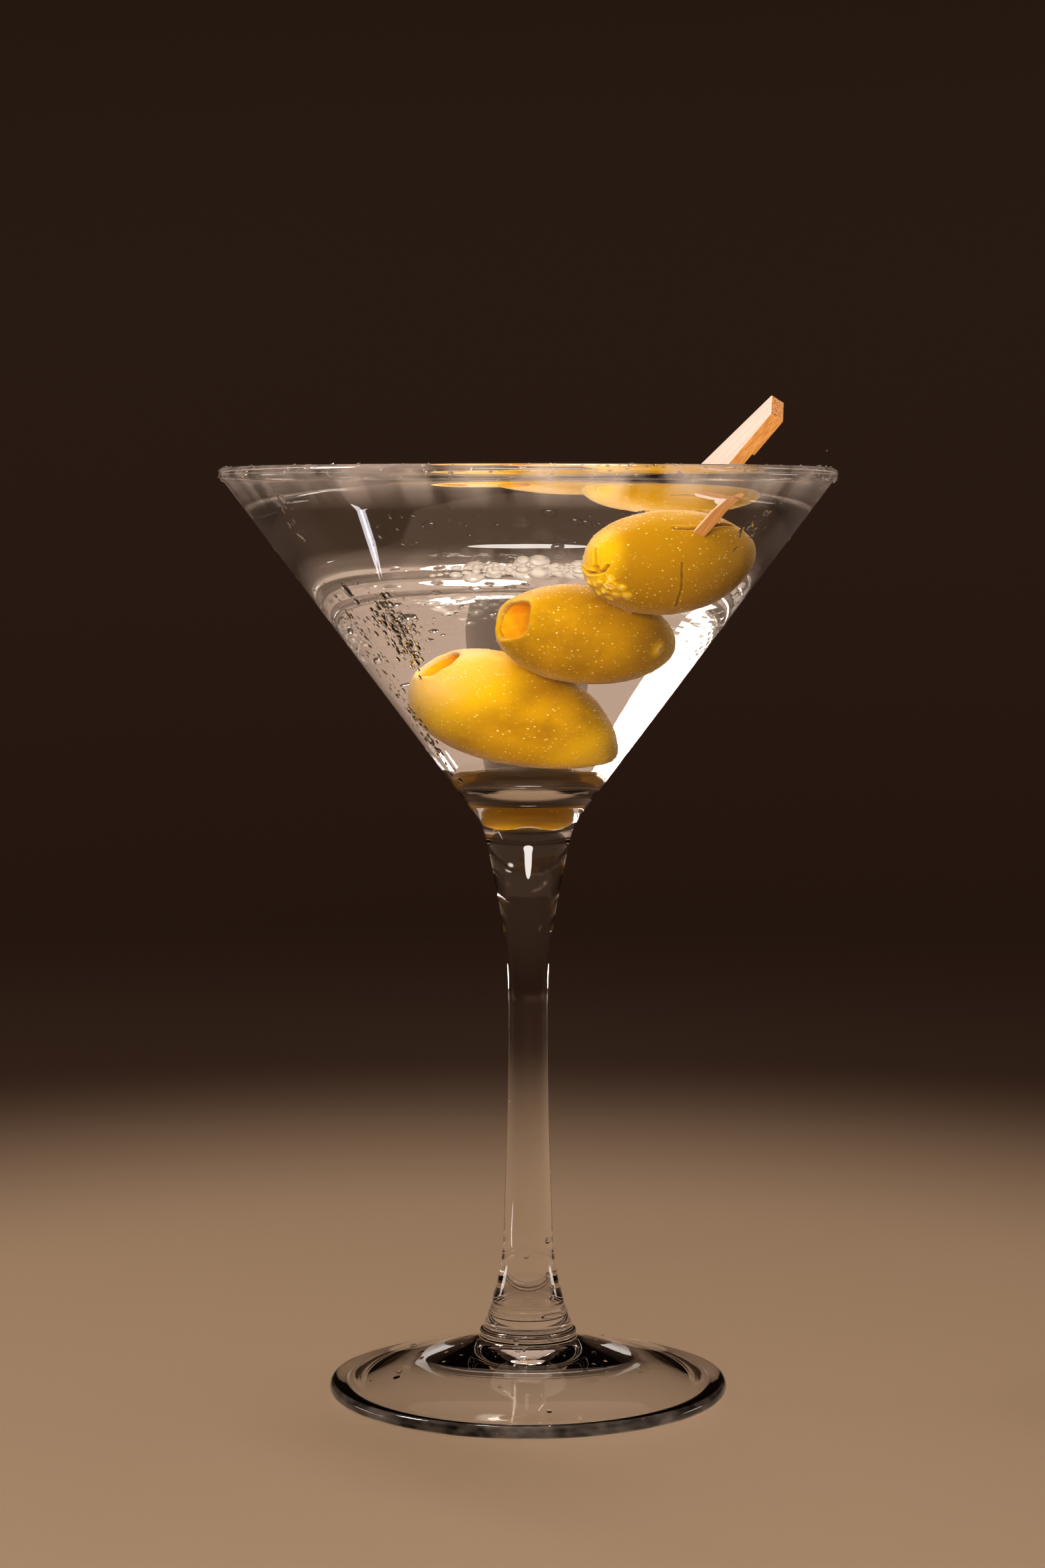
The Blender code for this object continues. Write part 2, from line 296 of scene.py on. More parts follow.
soft_lamp("key_left", (-0.68, 0.14, 0.72), 0.90, (0.26, 0.26), 2.9, DAYLIGHT)
soft_lamp("front_panel", (0.0, -0.74, 0.55), 0.85, (1.20, 0.45), 3.6, (1.0, 0.94, 0.86),
          hidden_from=("glossy", "transmission"))
soft_lamp("behind_the_rim", (0.172, 0.296, 0.94), 0.93, (0.26, 0.08), 1.2, (1.0, 0.92, 0.84))
soft_lamp("over_the_drink", (0.17, 0.16, 0.97), 0.93, (0.36, 0.26), 0.9, DAYLIGHT)
for width, height in GLOW_SIZES:
    soft_lamp("glow_behind", (0.0, 1.0, 0.070), 0.70, (width, height), GLOW_POWER * width * height,
              (1.0, 0.96, 0.92), hidden_from=("diffuse",))
soft_lamp("front_fill", (-0.10, -0.92, -0.05), 0.88, (0.50, 0.16), 5.8, CANDLE_WARM,
          hidden_from=("glossy", "transmission"))
soft_lamp("left_strip", (-0.743, -0.009, -0.669), 0.214, (0.075, 0.007), 0.009, (0.93, 0.92, 1.0),
          roll=22.0, hidden_from=("diffuse",))
soft_lamp("sparkle_right", (0.67, 0.15, 0.72), 0.85, (0.035, 0.035), 0.25, (0.95, 0.97, 1.0))
soft_lamp("edge_left", (-0.96, 0.26, -0.12), 0.80, (0.28, 0.08), 0.25, EDGE_WHITE)
soft_lamp("edge_right", (0.96, 0.26, -0.12), 0.80, (0.28, 0.08), 0.25, EDGE_WHITE)

world = bpy.data.worlds.new("soft_room_light")
world.use_nodes = True
world.node_tree.nodes["Background"].inputs["Color"].default_value = ROOM_LIGHT
world.node_tree.nodes["Background"].inputs["Strength"].default_value = ROOM_STRENGTH
bpy.context.scene.world = world
bpy.context.scene.view_settings.view_transform = "Standard"
bpy.context.scene.view_settings.look = "High Contrast"

# %% [markdown]
# ## Effects that several finishes share
#
# Three effects turn up in more than one material, so each is a node group. *Waver* is the faint
# unevenness of blown glass and of a still liquid, put out as a normal. *Mottle* is a soft, cloudy change
# between two colours. *Specks* is a mask of tiny round dots, which serves for the beads of air on an
# olive and for the ends of the fibres in bamboo.


# %% Shared node groups
MOTTLE_BAND = (0.36, 0.64)  # the part of the noise over which one colour gives way to the other


def new_group(name, inputs, outputs):
    """A shader node group with typed sockets, and its two end nodes."""
    group = bpy.data.node_groups.new(name, "ShaderNodeTree")
    for label, kind, value in inputs:
        socket = group.interface.new_socket(name=label, in_out="INPUT", socket_type=kind)
        if value is not None:
            socket.default_value = value
    for label, kind in outputs:
        group.interface.new_socket(name=label, in_out="OUTPUT", socket_type=kind)
    return group, group.nodes.new("NodeGroupInput"), group.nodes.new("NodeGroupOutput")


def make_waver_group():
    """A slow unevenness, as a normal."""
    group, given, result = new_group(
        "waver",
        [("Place", "NodeSocketVector", None), ("Scale", "NodeSocketFloat", 40.0),
         ("Depth", "NodeSocketFloat", 0.00002)],
        [("Normal", "NodeSocketVector")],
    )
    cloud = add_node(group, "ShaderNodeTexNoise", {"Detail": 1.0, "Roughness": 0.4})
    bump = add_node(group, "ShaderNodeBump", {"Strength": 1.0})
    group.links.new(given.outputs["Place"], cloud.inputs["Vector"])
    group.links.new(given.outputs["Scale"], cloud.inputs["Scale"])
    group.links.new(cloud.outputs["Fac"], bump.inputs["Height"])
    group.links.new(given.outputs["Depth"], bump.inputs["Distance"])
    group.links.new(bump.outputs["Normal"], result.inputs["Normal"])
    return group


def make_mottle_group():
    """A cloudy change between two colours, and its mask."""
    group, given, result = new_group(
        "mottle",
        [("Place", "NodeSocketVector", None), ("Scale", "NodeSocketFloat", 100.0),
         ("First", "NodeSocketColor", None), ("Second", "NodeSocketColor", None)],
        [("Color", "NodeSocketColor"), ("Mask", "NodeSocketFloat")],
    )
    cloud = add_node(group, "ShaderNodeTexNoise", {"Detail": 4.0, "Roughness": 0.55})
    group.links.new(given.outputs["Place"], cloud.inputs["Vector"])
    group.links.new(given.outputs["Scale"], cloud.inputs["Scale"])
    mask = ramp_between(group, cloud.outputs["Fac"], *MOTTLE_BAND)
    colour = blend_colours(group, mask, given.outputs["First"], given.outputs["Second"])
    group.links.new(colour, result.inputs["Color"])
    group.links.new(mask, result.inputs["Mask"])
    return group


def make_specks_group():
    """A mask of small round dots."""
    group, given, result = new_group(
        "specks",
        [("Place", "NodeSocketVector", None), ("Scale", "NodeSocketFloat", 1500.0),
         ("Size", "NodeSocketFloat", 0.25)],
        [("Mask", "NodeSocketFloat")],
    )
    cells = add_node(group, "ShaderNodeTexVoronoi", {"Randomness": 1.0}, feature="F1")
    near = add_node(group, "ShaderNodeMath", operation="DIVIDE")
    edge = add_node(group, "ShaderNodeMapRange", {"From Min": 1.0, "From Max": 0.6})
    group.links.new(given.outputs["Place"], cells.inputs["Vector"])
    group.links.new(given.outputs["Scale"], cells.inputs["Scale"])
    group.links.new(cells.outputs["Distance"], near.inputs[0])
    group.links.new(given.outputs["Size"], near.inputs[1])
    group.links.new(near.outputs[0], edge.inputs["Value"])
    group.links.new(edge.outputs["Result"], result.inputs["Mask"])
    return group


WAVER = make_waver_group()
MOTTLE = make_mottle_group()
SPECKS = make_specks_group()


def add_group(tree, group, place, inputs=None):
    """One of the shared groups, with its Place input linked."""
    node = tree.nodes.new("ShaderNodeGroup")
    node.node_tree = group
    for key, value in (inputs or {}).items():
        if isinstance(value, tuple) and len(value) == 3:
            value = (*value, 1.0)
        node.inputs[key].default_value = value
    tree.links.new(place, node.inputs["Place"])
    return node


print("node groups:", [g.name for g in bpy.data.node_groups])

# %% [markdown]
# ## Clear finishes
#
# Glass, drink and drops bend light by their refractive index and take almost no colour. Rays from the
# lamps are let straight through with a Light Path switch, so that the olives are lit inside the drink and
# no noisy caustics have to be traced. The switch stays in each material, around its own Principled
# shader. Rays scattered by the floor and the olives also pass: that is set on the objects.
#
# Cold glass has a breath of mist on it. A rough surface would blur what lies behind it as well, so the
# mist is a thin share of a plain pale surface that lies over the clear one, half of it letting light
# through. How thick it is at each point comes from an attribute of the mesh.

# %% Clear materials
GLASS_INDEX = 1.52
DRINK_INDEX = 1.345
WATER_INDEX = 1.333


def clear_material(name, index, colour, shade, waver_scale, waver_depth, misted=None, film=None):
    """Clear stuff of this refractive index. shade is what one surface lets through for lamps.

    misted is the colour of a mist that lies over it, as thick as the piece's "mist" attribute says, or
    everywhere the same where film gives its share."""
    material, tree, shader = new_material(name)
    shader.inputs["Base Color"].default_value = (*colour, 1.0)
    shader.inputs["Roughness"].default_value = 0.0
    shader.inputs["IOR"].default_value = index
    shader.inputs["Transmission Weight"].default_value = 1.0
    place = add_node(tree, "ShaderNodeTexCoord").outputs["Object"]
    waver = add_group(tree, WAVER, place, {"Scale": waver_scale, "Depth": waver_depth})
    tree.links.new(waver.outputs["Normal"], shader.inputs["Normal"])
    path = add_node(tree, "ShaderNodeLightPath")
    passing = add_node(tree, "ShaderNodeBsdfTransparent", {"Color": (shade, shade, shade, 1.0)})
    seen = shader.outputs["BSDF"]
    if misted:
        through = add_node(tree, "ShaderNodeBsdfTranslucent", {"Color": (*misted, 1.0)})
        bloom_and_painted_light = add_node(tree, "ShaderNodeBsdfDiffuse", {"Color": (*misted, 1.0)})
        mist = add_node(tree, "ShaderNodeMixShader", {"Fac": 0.5})
        tree.links.new(through.outputs["BSDF"], mist.inputs[1])
        tree.links.new(bloom_and_painted_light.outputs["BSDF"], mist.inputs[2])
        misting = add_node(tree, "ShaderNodeMixShader", {"Fac": film or 0.0})
        if film is None:
            amount = add_node(tree, "ShaderNodeAttribute", attribute_name="mist")
            tree.links.new(amount.outputs["Fac"], misting.inputs["Fac"])
        tree.links.new(seen, misting.inputs[1])
        tree.links.new(mist.outputs["Shader"], misting.inputs[2])
        seen = misting.outputs["Shader"]
    switch = add_node(tree, "ShaderNodeMixShader")
    tree.links.new(path.outputs["Is Shadow Ray"], switch.inputs[0])
    tree.links.new(seen, switch.inputs[1])
    tree.links.new(passing.outputs["BSDF"], switch.inputs[2])
    tree.links.new(switch.outputs["Shader"], tree.nodes["Material Output"].inputs["Surface"])
    return material


NO_COLOUR = (1.0, 1.0, 1.0)
MIST_COLOUR = (0.80, 0.70, 0.66)
CLEAR_GLASS = clear_material(
    "clear_glass", GLASS_INDEX, NO_COLOUR, 0.94, waver_scale=60.0, waver_depth=0.00002, misted=MIST_COLOUR)
CLEAR_DRINK = clear_material(
    "clear_drink", DRINK_INDEX, (1.0, 0.995, 0.985), 0.98, waver_scale=45.0, waver_depth=0.00001)
WATER_DROP = clear_material(
    "water_drop", WATER_INDEX, NO_COLOUR, 0.98, waver_scale=300.0, waver_depth=0.000004)


def let_light_through(piece):
    """Scattered rays pass this piece, so it doesn't darken what it holds."""
    piece.visible_diffuse = False
    return piece


print("clear materials:", CLEAR_GLASS.name, CLEAR_DRINK.name, WATER_DROP.name)

# %% [markdown]
# ## Glass
#
# The real glass is blown and drawn in one go: a straight cone bowl with a rolled rim, a stem pulled from
# its bottom, and a foot fused on, which leaves a fine ring round the stem's base. One section holds all
# of it, up the inside, over the rim, down the outside and in under the foot. The wall is a pair of lines
# that touch the rim's round bead, and everything below the cone is one curve after another, from a list.
# The frame's own box for the glass is printed to compare.

# %% Glass dimensions
glass_low, glass_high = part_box("glass")
GLASS_HEIGHT = 176.4 * MM
RIM_RADIUS = 58.2 * MM
BEAD_RADIUS = 1.45 * MM
WALL_SLOPE = 0.75
WALL_THICKNESS = 1.7 * MM
BEAD_PROUD = 0.32 * MM
BOWL_FLOOR = 115.8 * MM
FLOOR_ROUND = 38.0 * MM
FLOOR_REACH = 9.5 * MM
WALL_START = 15.2 * MM
CONE_END_HEIGHT = 110.6 * MM
FOOT_RADIUS = 38.3 * MM
GLASS_STEPS = 192

# Below the cone, radius and height in millimetres: two pulls, the curve's end, and how many parts it has.
OUTSIDE_CURVES = [
    ((8.35, 108.2), (7.95, 106.0), (7.6, 104.2), 8),        # the neck
    ((5.6, 94.2), (3.75, 87.0), (3.75, 74.0), 14),          # in to the waist
    ((3.70, 58.0), (4.35, 42.0), (4.74, 28.8), 14),         # down the stem
    ((5.1, 23.0), (6.9, 16.5), (8.45, 12.9), 14),           # out to the stem's base
    ((8.25, 12.5), (8.55, 12.0), (9.0, 11.9), 6),           # the groove above the ring
    ((9.35, 11.8), (9.3, 11.2), (9.2, 11.0), 5),            # round the ring
    ((9.3, 9.9), (11.0, 9.5), (13.5, 8.8), 8),              # the foot's shoulder
    ((21.0, 6.5), (30.0, 3.4), (37.2, 2.5), 14),            # the foot's top
    ((38.3, 2.2), (38.4, 0.2), (37.2, 0.0), 10),            # the foot's edge, down to the flat ring
]
RING_INNER = 33.5           # the flat ring that the foot stands on ends here
UNDERSIDE_CURVES = [
    ((30.0, 1.9), (20.5, 4.3), (13.5, 5.6), 12),
    ((10.5, 6.2), (5.0, 6.4), (0.0, 6.4), 8),
]

WALL_LEAN = math.atan(WALL_SLOPE)
BEAD_CENTRE = (RIM_RADIUS - BEAD_RADIUS, GLASS_HEIGHT - BEAD_RADIUS)
OUTER_OFFSET = BEAD_RADIUS - BEAD_PROUD
INNER_OFFSET = OUTER_OFFSET - WALL_THICKNESS
print("glass in the frame:", glass_low, glass_high)


# %% Glass section
def wall_radius(height, offset):
    """Radius of the wall line that lies offset outwards of the bead's centre."""
    at_centre = BEAD_CENTRE[0] + offset / math.cos(WALL_LEAN)
    return at_centre + WALL_SLOPE * (height - BEAD_CENTRE[1])


def bead_angle(offset, radius):
    """Direction, from the bead's centre, of the point where a circle there meets that line."""
    return -WALL_LEAN - math.acos(offset / radius)


def bowl_floor(offset, floor, parts):
    """Dished floor out from the axis, then a fillet up to the straight wall."""
    lean = math.asin(FLOOR_REACH / FLOOR_ROUND)
    dish = arc((0.0, floor + FLOOR_ROUND), FLOOR_ROUND, -math.pi / 2, lean - math.pi / 2, 6)
    start = dish[-1]
    height_at = BEAD_CENTRE[1] - wall_radius(BEAD_CENTRE[1], offset) / WALL_SLOPE
    end = (WALL_START, height_at + WALL_START / WALL_SLOPE)
    corner = (height_at - start[1] + math.tan(lean) * start[0]) / (math.tan(lean) - 1 / WALL_SLOPE)
    corner_point = (corner, height_at + corner / WALL_SLOPE)
    pulls = [tuple(0.4 * side[i] + 0.6 * corner_point[i] for i in (0, 1)) for side in (start, end)]
    return [(0.0, floor)] + dish[1:] + bezier(start, pulls[0], pulls[1], end, parts)


def chain(start, curves):
    """Curves one after another. Their points are in millimetres, start is in metres."""
    points = []
    for first, second, end, parts in curves:
        corners = [tuple(side * MM for side in corner) for corner in (first, second, end)]
        points += bezier(start, *corners, parts)
        start = corners[-1]
    return points


def glass_section():
    """Up the inside, over the bead, down the outside and in under the foot."""
    floor = bowl_floor(INNER_OFFSET, BOWL_FLOOR, 12)
    first = bead_angle(INNER_OFFSET, BEAD_RADIUS) + 2 * math.pi
    last = bead_angle(OUTER_OFFSET, BEAD_RADIUS)
    bead = arc(BEAD_CENTRE, BEAD_RADIUS, first, last, 26)
    cone_end = (wall_radius(CONE_END_HEIGHT, OUTER_OFFSET), CONE_END_HEIGHT)
    ring_inner = (RING_INNER * MM, 0.0)
    points = floor + straight(floor[-1], bead[0], 10)[:-1] + bead
    points += straight(bead[-1], cone_end, 12)
    points += chain(cone_end, OUTSIDE_CURVES)
    points += straight(points[-1], ring_inner, 3)
    points += chain(ring_inner, UNDERSIDE_CURVES)
    return points


# %% Make the glass
RIM_MIST = 0.30             # how thick the mist is on the rim's bead
EDGE_MIST = 0.16            # on the foot's edge
WALL_MIST = 0.11            # and at most on the outer wall
MIST_CLOUDS = 160.0         # scales of its broad and its fine unevenness
MIST_GRAIN = 900.0
PATCHY = (0.6, 0.8, 0.6)    # the film's mean, and what clouds and grain add to it
SIDE_SHARE = (0.70, 0.98)   # the wall's mist grows towards the left and right sides
WALL_MIST_HEIGHT = (148.0 * MM, 166.0 * MM)


def share_of(value, low, high):
    """How far value has come from low to high, held between 0 and 1."""
    return min(max((value - low) / (high - low), 0.0), 1.0)


def lay_mist(work):
    """Marks how misted the glass is: a patchy film on rim and foot, and a trace high up on the wall."""
    layer = work.verts.layers.float.new("mist")
    misted = 0
    for corner in work.verts:
        reach = corner.co.xy.length
        height = corner.co.z
        on_bead = (Vector((reach, height)) - Vector(BEAD_CENTRE)).length < 1.02 * BEAD_RADIUS
        on_edge = reach > FOOT_RADIUS - 1.0 * MM and height < 3 * MM
        on_wall = reach > wall_radius(height, OUTER_OFFSET) - 0.3 * MM and height > CONE_END_HEIGHT
        clouds = noise.noise(corner.co * MIST_CLOUDS)
        grain = noise.noise(corner.co * MIST_GRAIN)
        patchy = max(PATCHY[0] + PATCHY[1] * clouds + PATCHY[2] * grain, 0.0)
        if on_bead:
            corner[layer] = RIM_MIST * patchy
        elif on_edge:
            corner[layer] = EDGE_MIST * patchy
        elif on_wall:
            aside = share_of(abs(corner.co.x) / reach, *SIDE_SHARE)
            corner[layer] = WALL_MIST * aside * share_of(height, *WALL_MIST_HEIGHT)
        misted += corner[layer] > 0
    print("misted corners:", misted)
    return work


glass = let_light_through(
    finished(lay_mist(spun(glass_section(), GLASS_STEPS)), "clear_bowl_glass", CLEAR_GLASS))

# %% [markdown]
# ## Drink
#
# The liquid is a body of its own that reaches a fifth of a millimetre into the glass. With a gap there, a
# film of air would show as a mirror, and with the faces in one plane the renderer couldn't choose between
# them. Where the surface meets the rim, the pick and the top olive's crown it creeps up a little. That is
# made by lifting the points of the flat surface by their distance from each of these.

# %% Drink dimensions
DRINK_LEVEL = 174.6 * MM
INTO_GLASS = 0.2 * MM
RIM_CREEP = (1.0 * MM, 1.7 * MM)        # height and reach of the liquid's rise at the rim
PICK_CREEP = (0.8 * MM, 0.9 * MM)       # and at the pick and the olive's crown
PICK_HALF_WIDTH = 1.3 * MM              # where the pick leaves the drink
SURFACE_RINGS = 90
OUTLINE_TRIES = 2000                    # spots on the top olive, of which those at the drink's level are kept
OUTLINE_BAND = 0.12 * MM
GOLDEN_TURN = 2.39996                   # radians from one spot to the next, which spreads them evenly
CROWN_REACH = 40 * MM                   # beyond this the crown lifts nothing


# %% Pick and olive places
def axes_along(direction, point):
    """Matrix whose local Z runs along direction from point."""
    turn = Vector(direction).to_track_quat("Z", "Y").to_matrix().to_4x4()
    return Matrix.Translation(point) @ turn


PICK_POINT = Vector((24.27, -17.2, 165.33)) * MM
PICK_DIRECTION = Vector((0.586, -0.558, 0.588)).normalized()
PICK_FACE = Vector((-0.807, -0.333, 0.488)).normalized()

# centre is an olive's middle. pitted_end is the way its pitted end looks. mouth is how far the pit hole
# lies off the axis. amber darkens the skin. The value after it is partly frost and partly painted light:
# how strongly a pale frost is painted on the side that the light falls on. squareness bends the mouth
# towards a square, and point sharpens the far end. pale has a strength and a start for the near end, then
# the far.
OLIVES = {
    "olive_top": {
        "half_length": 15.6 * MM,
        "half_width": 10.85 * MM,
        "centre": Vector((22.6, -12.0, 164.4)) * MM,
        "pitted_end": Vector((-0.82, -0.572, 0.0)),
        "mouth": (0.9 * MM, -2.2 * MM),
        "mouth_radius": 0.7 * MM,
        "amber": 1.0,
        "bloom_and_painted_light": 0.85,
        "squareness": 0.0,
        "point": 0.10,
        "pale": (0.45, 0.72, 0.35, 0.70),
    },
    "olive_middle": {
        "half_length": 14.4 * MM,
        "half_width": 10.2 * MM,
        "centre": Vector((8.3, -1.8, 151.6)) * MM,
        "pitted_end": Vector((-0.815, -0.54, 0.2)),
        "mouth": (0.3 * MM, -0.5 * MM),
        "mouth_radius": 4.0 * MM,
        "amber": 0.3,
        "bloom_and_painted_light": 0.75,
        "squareness": 0.07,
        "point": 0.10,
        "pale": (0.35, 0.80, 0.45, 0.55),
    },
    "olive_bottom": {
        "half_length": 15.5 * MM,
        "half_width": 10.3 * MM,
        "centre": Vector((-2.1, 9.5, 137.2)) * MM,
        "pitted_end": Vector((-0.712, -0.065, 0.7)),
        "mouth": (2.0 * MM, -0.4 * MM),
        "mouth_radius": 3.5 * MM,
        "amber": 0.0,
        "bloom_and_painted_light": 0.75,
        "squareness": 0.03,
        "point": 0.16,
        "pale": (1.0, -0.25, 0.60, 0.45),
    },
}


# %% Make the drink
def drink_section():
    """From the middle of the surface out to the rim, down inside the wall and in to the axis."""
    radius = BEAD_RADIUS - INTO_GLASS
    offset = INNER_OFFSET + INTO_GLASS
    first = math.pi + math.asin((BEAD_CENTRE[1] - DRINK_LEVEL - RIM_CREEP[0]) / radius)
    beside_bead = arc(BEAD_CENTRE, radius, first, bead_angle(offset, radius) + 2 * math.pi, 8)
    edge = (beside_bead[0][0], DRINK_LEVEL)
    surface = straight((0.0, DRINK_LEVEL), edge, SURFACE_RINGS)
    floor = bowl_floor(offset, BOWL_FLOOR - INTO_GLASS, 12)
    wall = straight(beside_bead[-1], floor[-1], 10)
    return [(0.0, DRINK_LEVEL)] + surface[:-1] + beside_bead + wall[:-1] + floor[::-1]


def crown_outline():
    """Points of the top olive's outline where the surface cuts it."""
    olive = OLIVES["olive_top"]
    place = axes_along(olive["pitted_end"], olive["centre"])
    outline = []
    for step in range(OUTLINE_TRIES):
        turn = step * GOLDEN_TURN
        height = 1.0 - 2.0 * (step + 0.5) / OUTLINE_TRIES
        across = math.sqrt(1.0 - height * height)
        wide, far = olive["half_width"], olive["half_length"]
        on_skin = Vector((wide * across * math.cos(turn), wide * across * math.sin(turn), far * height))
        point = place @ on_skin
        if abs(point.z - DRINK_LEVEL) < OUTLINE_BAND:
            outline.append(point.xy)
    return outline


def lift_surface(work):
    """Raises the surface's points near the rim, the pick and the crown."""
    crown = crown_outline()
    pick_at_level = PICK_POINT + PICK_DIRECTION * ((DRINK_LEVEL - PICK_POINT.z) / PICK_DIRECTION.z)
    touch = BEAD_CENTRE[0] - BEAD_RADIUS
    lifted = 0
    for corner in work.verts:
        if abs(corner.co.z - DRINK_LEVEL) > SAME_POINT:
            continue
        spot = corner.co.xy
        garnish = max((spot - pick_at_level.xy).length - PICK_HALF_WIDTH, 0.0)
        if (spot - crown[0]).length < CROWN_REACH:
            garnish = min(garnish, min((spot - point).length for point in crown))
        at_rim = RIM_CREEP[0] * math.exp(-max(touch - spot.length, 0.0) / RIM_CREEP[1])
        at_garnish = PICK_CREEP[0] * math.exp(-garnish / PICK_CREEP[1])
        corner.co.z += max(at_rim, at_garnish)
        lifted += 1
    print("surface points:", lifted, "crown outline points:", len(crown))


drink_work = spun(drink_section(), GLASS_STEPS)
lift_surface(drink_work)
drink = let_light_through(finished(drink_work, "clear_cocktail", CLEAR_DRINK))

# %% [markdown]
# ## Olive skin and flesh
#
# A brined olive is waxy and a little see-through. Its colour is laid on in layers, each blended over the
# last by a mask: gold and amber in soft clouds, yellow and cream towards the ends, a grainy pale frost that
# is painted sheen where the eye skims the skin and painted light where the light falls on it, and specks
# of air. What differs from one olive to the next, such as how amber it is and how strongly its lit side is
# painted pale, and the dark of the cuts are attributes that the modelling step writes on each point, so one
# material serves all three. In the drink an olive hardly shines, because the liquid's refractive index is
# close to its own, so the shader's index is their ratio. Light that travels under the skin comes from
# subsurface scattering.

# %% Olive materials
SKIN_INDEX = 1.12           # the skin's own index over the drink's
SKIN_GOLD = (0.65, 0.385, 0.001)
SKIN_AMBER = (0.46, 0.26, 0.001)
SKIN_YELLOW = (0.81, 0.52, 0.004)
SKIN_PALE = (0.82, 0.575, 0.25)
# Frost colour, partly real frost and partly painted light: it is laid on as painted sheen where the eye skims
# the skin and as painted light on the lit side.
SKIN_FROST_AND_PAINTED_LIGHT = (0.76, 0.56, 0.36)
SPECK_COLOUR = (0.95, 0.76, 0.36)
CUT_COLOUR = (0.13, 0.055, 0.006)
SLIT_COLOUR = (0.60, 0.30, 0.012)
FLESH_ORANGE = (0.95, 0.48, 0.001)
FLESH_YELLOW = (0.97, 0.62, 0.012)
OLIVE_MASKS = ("amber", "pale", "open", "cut", "bloom_and_painted_light")
YELLOW_BAND = (0.0, 0.5)    # where along the pale mask the skin turns yellow
CREAM_BAND = (0.4, 1.0)     # and then cream
SKIMMED_BAND = (0.38, 0.98)     # where the painted sheen of the edges starts and is full
LEAST_CLOUD = 0.55
LEAST_GRAIN = 0.45


def scaled(tree, first, second):
    """The product of two masks."""
    times = add_node(tree, "ShaderNodeMath", operation="MULTIPLY")
    tree.links.new(first, times.inputs[0])
    tree.links.new(second, times.inputs[1])
    return times.outputs[0]


def mask_of(tree, name):
    """The value that the piece's attribute of this name has on the surface."""
    return add_node(tree, "ShaderNodeAttribute", attribute_name=name).outputs["Fac"]


def softened(tree, mask, least):
    """The mask taken from 0..1 to least..1, so that nowhere is left bare."""
    spread = add_node(tree, "ShaderNodeMapRange", {"To Min": least, "To Max": 1.0})
    tree.links.new(mask, spread.inputs["Value"])
    return spread.outputs["Result"]


def roughen(tree, shader, place, noise_inputs, strength, depth):
    """A bump from fine noise on the shader's normal."""
    grain = add_node(tree, "ShaderNodeTexNoise", noise_inputs)
    tree.links.new(place, grain.inputs["Vector"])
    bump = add_node(tree, "ShaderNodeBump", {"Strength": strength, "Distance": depth})
    tree.links.new(grain.outputs["Fac"], bump.inputs["Height"])
    tree.links.new(bump.outputs["Normal"], shader.inputs["Normal"])


def olive_skin():
    """Gold skin with its pale ends, specks, dark cuts, and a frost that is painted sheen and painted light.
    """
    material, tree, shader = new_material("olive_skin")
    place = add_node(tree, "ShaderNodeTexCoord").outputs["Object"]
    base = add_group(tree, MOTTLE, place, {"Scale": 95.0, "First": SKIN_GOLD, "Second": SKIN_AMBER})
    clouds = add_group(tree, MOTTLE, place, {"Scale": 160.0}).outputs["Mask"]
    sparse = add_group(tree, MOTTLE, place, {"Scale": 420.0}).outputs["Mask"]
    fine = add_group(tree, SPECKS, place, {"Scale": 1100.0, "Size": 0.22}).outputs["Mask"]
    frost_and_sheen_grain = add_group(tree, SPECKS, place, {"Scale": 2400.0, "Size": 0.75}).outputs["Mask"]
    amber, pale, opened, cut, bloom_and_painted_light = (mask_of(tree, name) for name in OLIVE_MASKS)
    soft_clouds = softened(tree, clouds, LEAST_CLOUD)
    skimmed = add_node(tree, "ShaderNodeLayerWeight", {"Blend": 0.5}).outputs["Facing"]
    # Painted sheen where the eye skims the skin and painted light on the lit side, made cloudy and grainy
    # like frost.
    painted_sheen_and_lit_side = add_node(tree, "ShaderNodeMath", operation="MAXIMUM")
    tree.links.new(ramp_between(tree, skimmed, *SKIMMED_BAND), painted_sheen_and_lit_side.inputs[0])
    tree.links.new(bloom_and_painted_light, painted_sheen_and_lit_side.inputs[1])
    frost_and_painted_light = scaled(tree, painted_sheen_and_lit_side.outputs[0], soft_clouds)
    frost_and_painted_light = scaled(tree, frost_and_painted_light, softened(tree, frost_and_sheen_grain, LEAST_GRAIN))
    colour = blend_colours(tree, amber, base.outputs["Color"], SKIN_AMBER)
    colour = blend_colours(tree, ramp_between(tree, pale, *YELLOW_BAND), colour, SKIN_YELLOW)
    palest = scaled(tree, ramp_between(tree, pale, *CREAM_BAND), soft_clouds)
    colour = blend_colours(tree, palest, colour, SKIN_PALE)
    colour = blend_colours(tree, frost_and_painted_light, colour, SKIN_FROST_AND_PAINTED_LIGHT)
    colour = blend_colours(tree, scaled(tree, fine, sparse), colour, SPECK_COLOUR)
    colour = blend_colours(tree, opened, colour, SLIT_COLOUR)
    colour = blend_colours(tree, cut, colour, CUT_COLOUR)
    tree.links.new(colour, shader.inputs["Base Color"])
    shader.inputs["Roughness"].default_value = 0.40
    shader.inputs["IOR"].default_value = SKIN_INDEX
    shader.inputs["Subsurface Weight"].default_value = 0.35
    shader.inputs["Subsurface Radius"].default_value = (1.0, 0.78, 0.12)
    shader.inputs["Subsurface Scale"].default_value = 2.2 * MM
    shader.inputs["Sheen Weight"].default_value = 0.03
    shader.inputs["Sheen Roughness"].default_value = 0.25
    shader.inputs["Sheen Tint"].default_value = (1.0, 0.86, 0.68, 1.0)
    roughen(tree, shader, place, {"Scale": 900.0, "Detail": 3.0, "Roughness": 0.6}, 0.5, 0.00006)
    return material


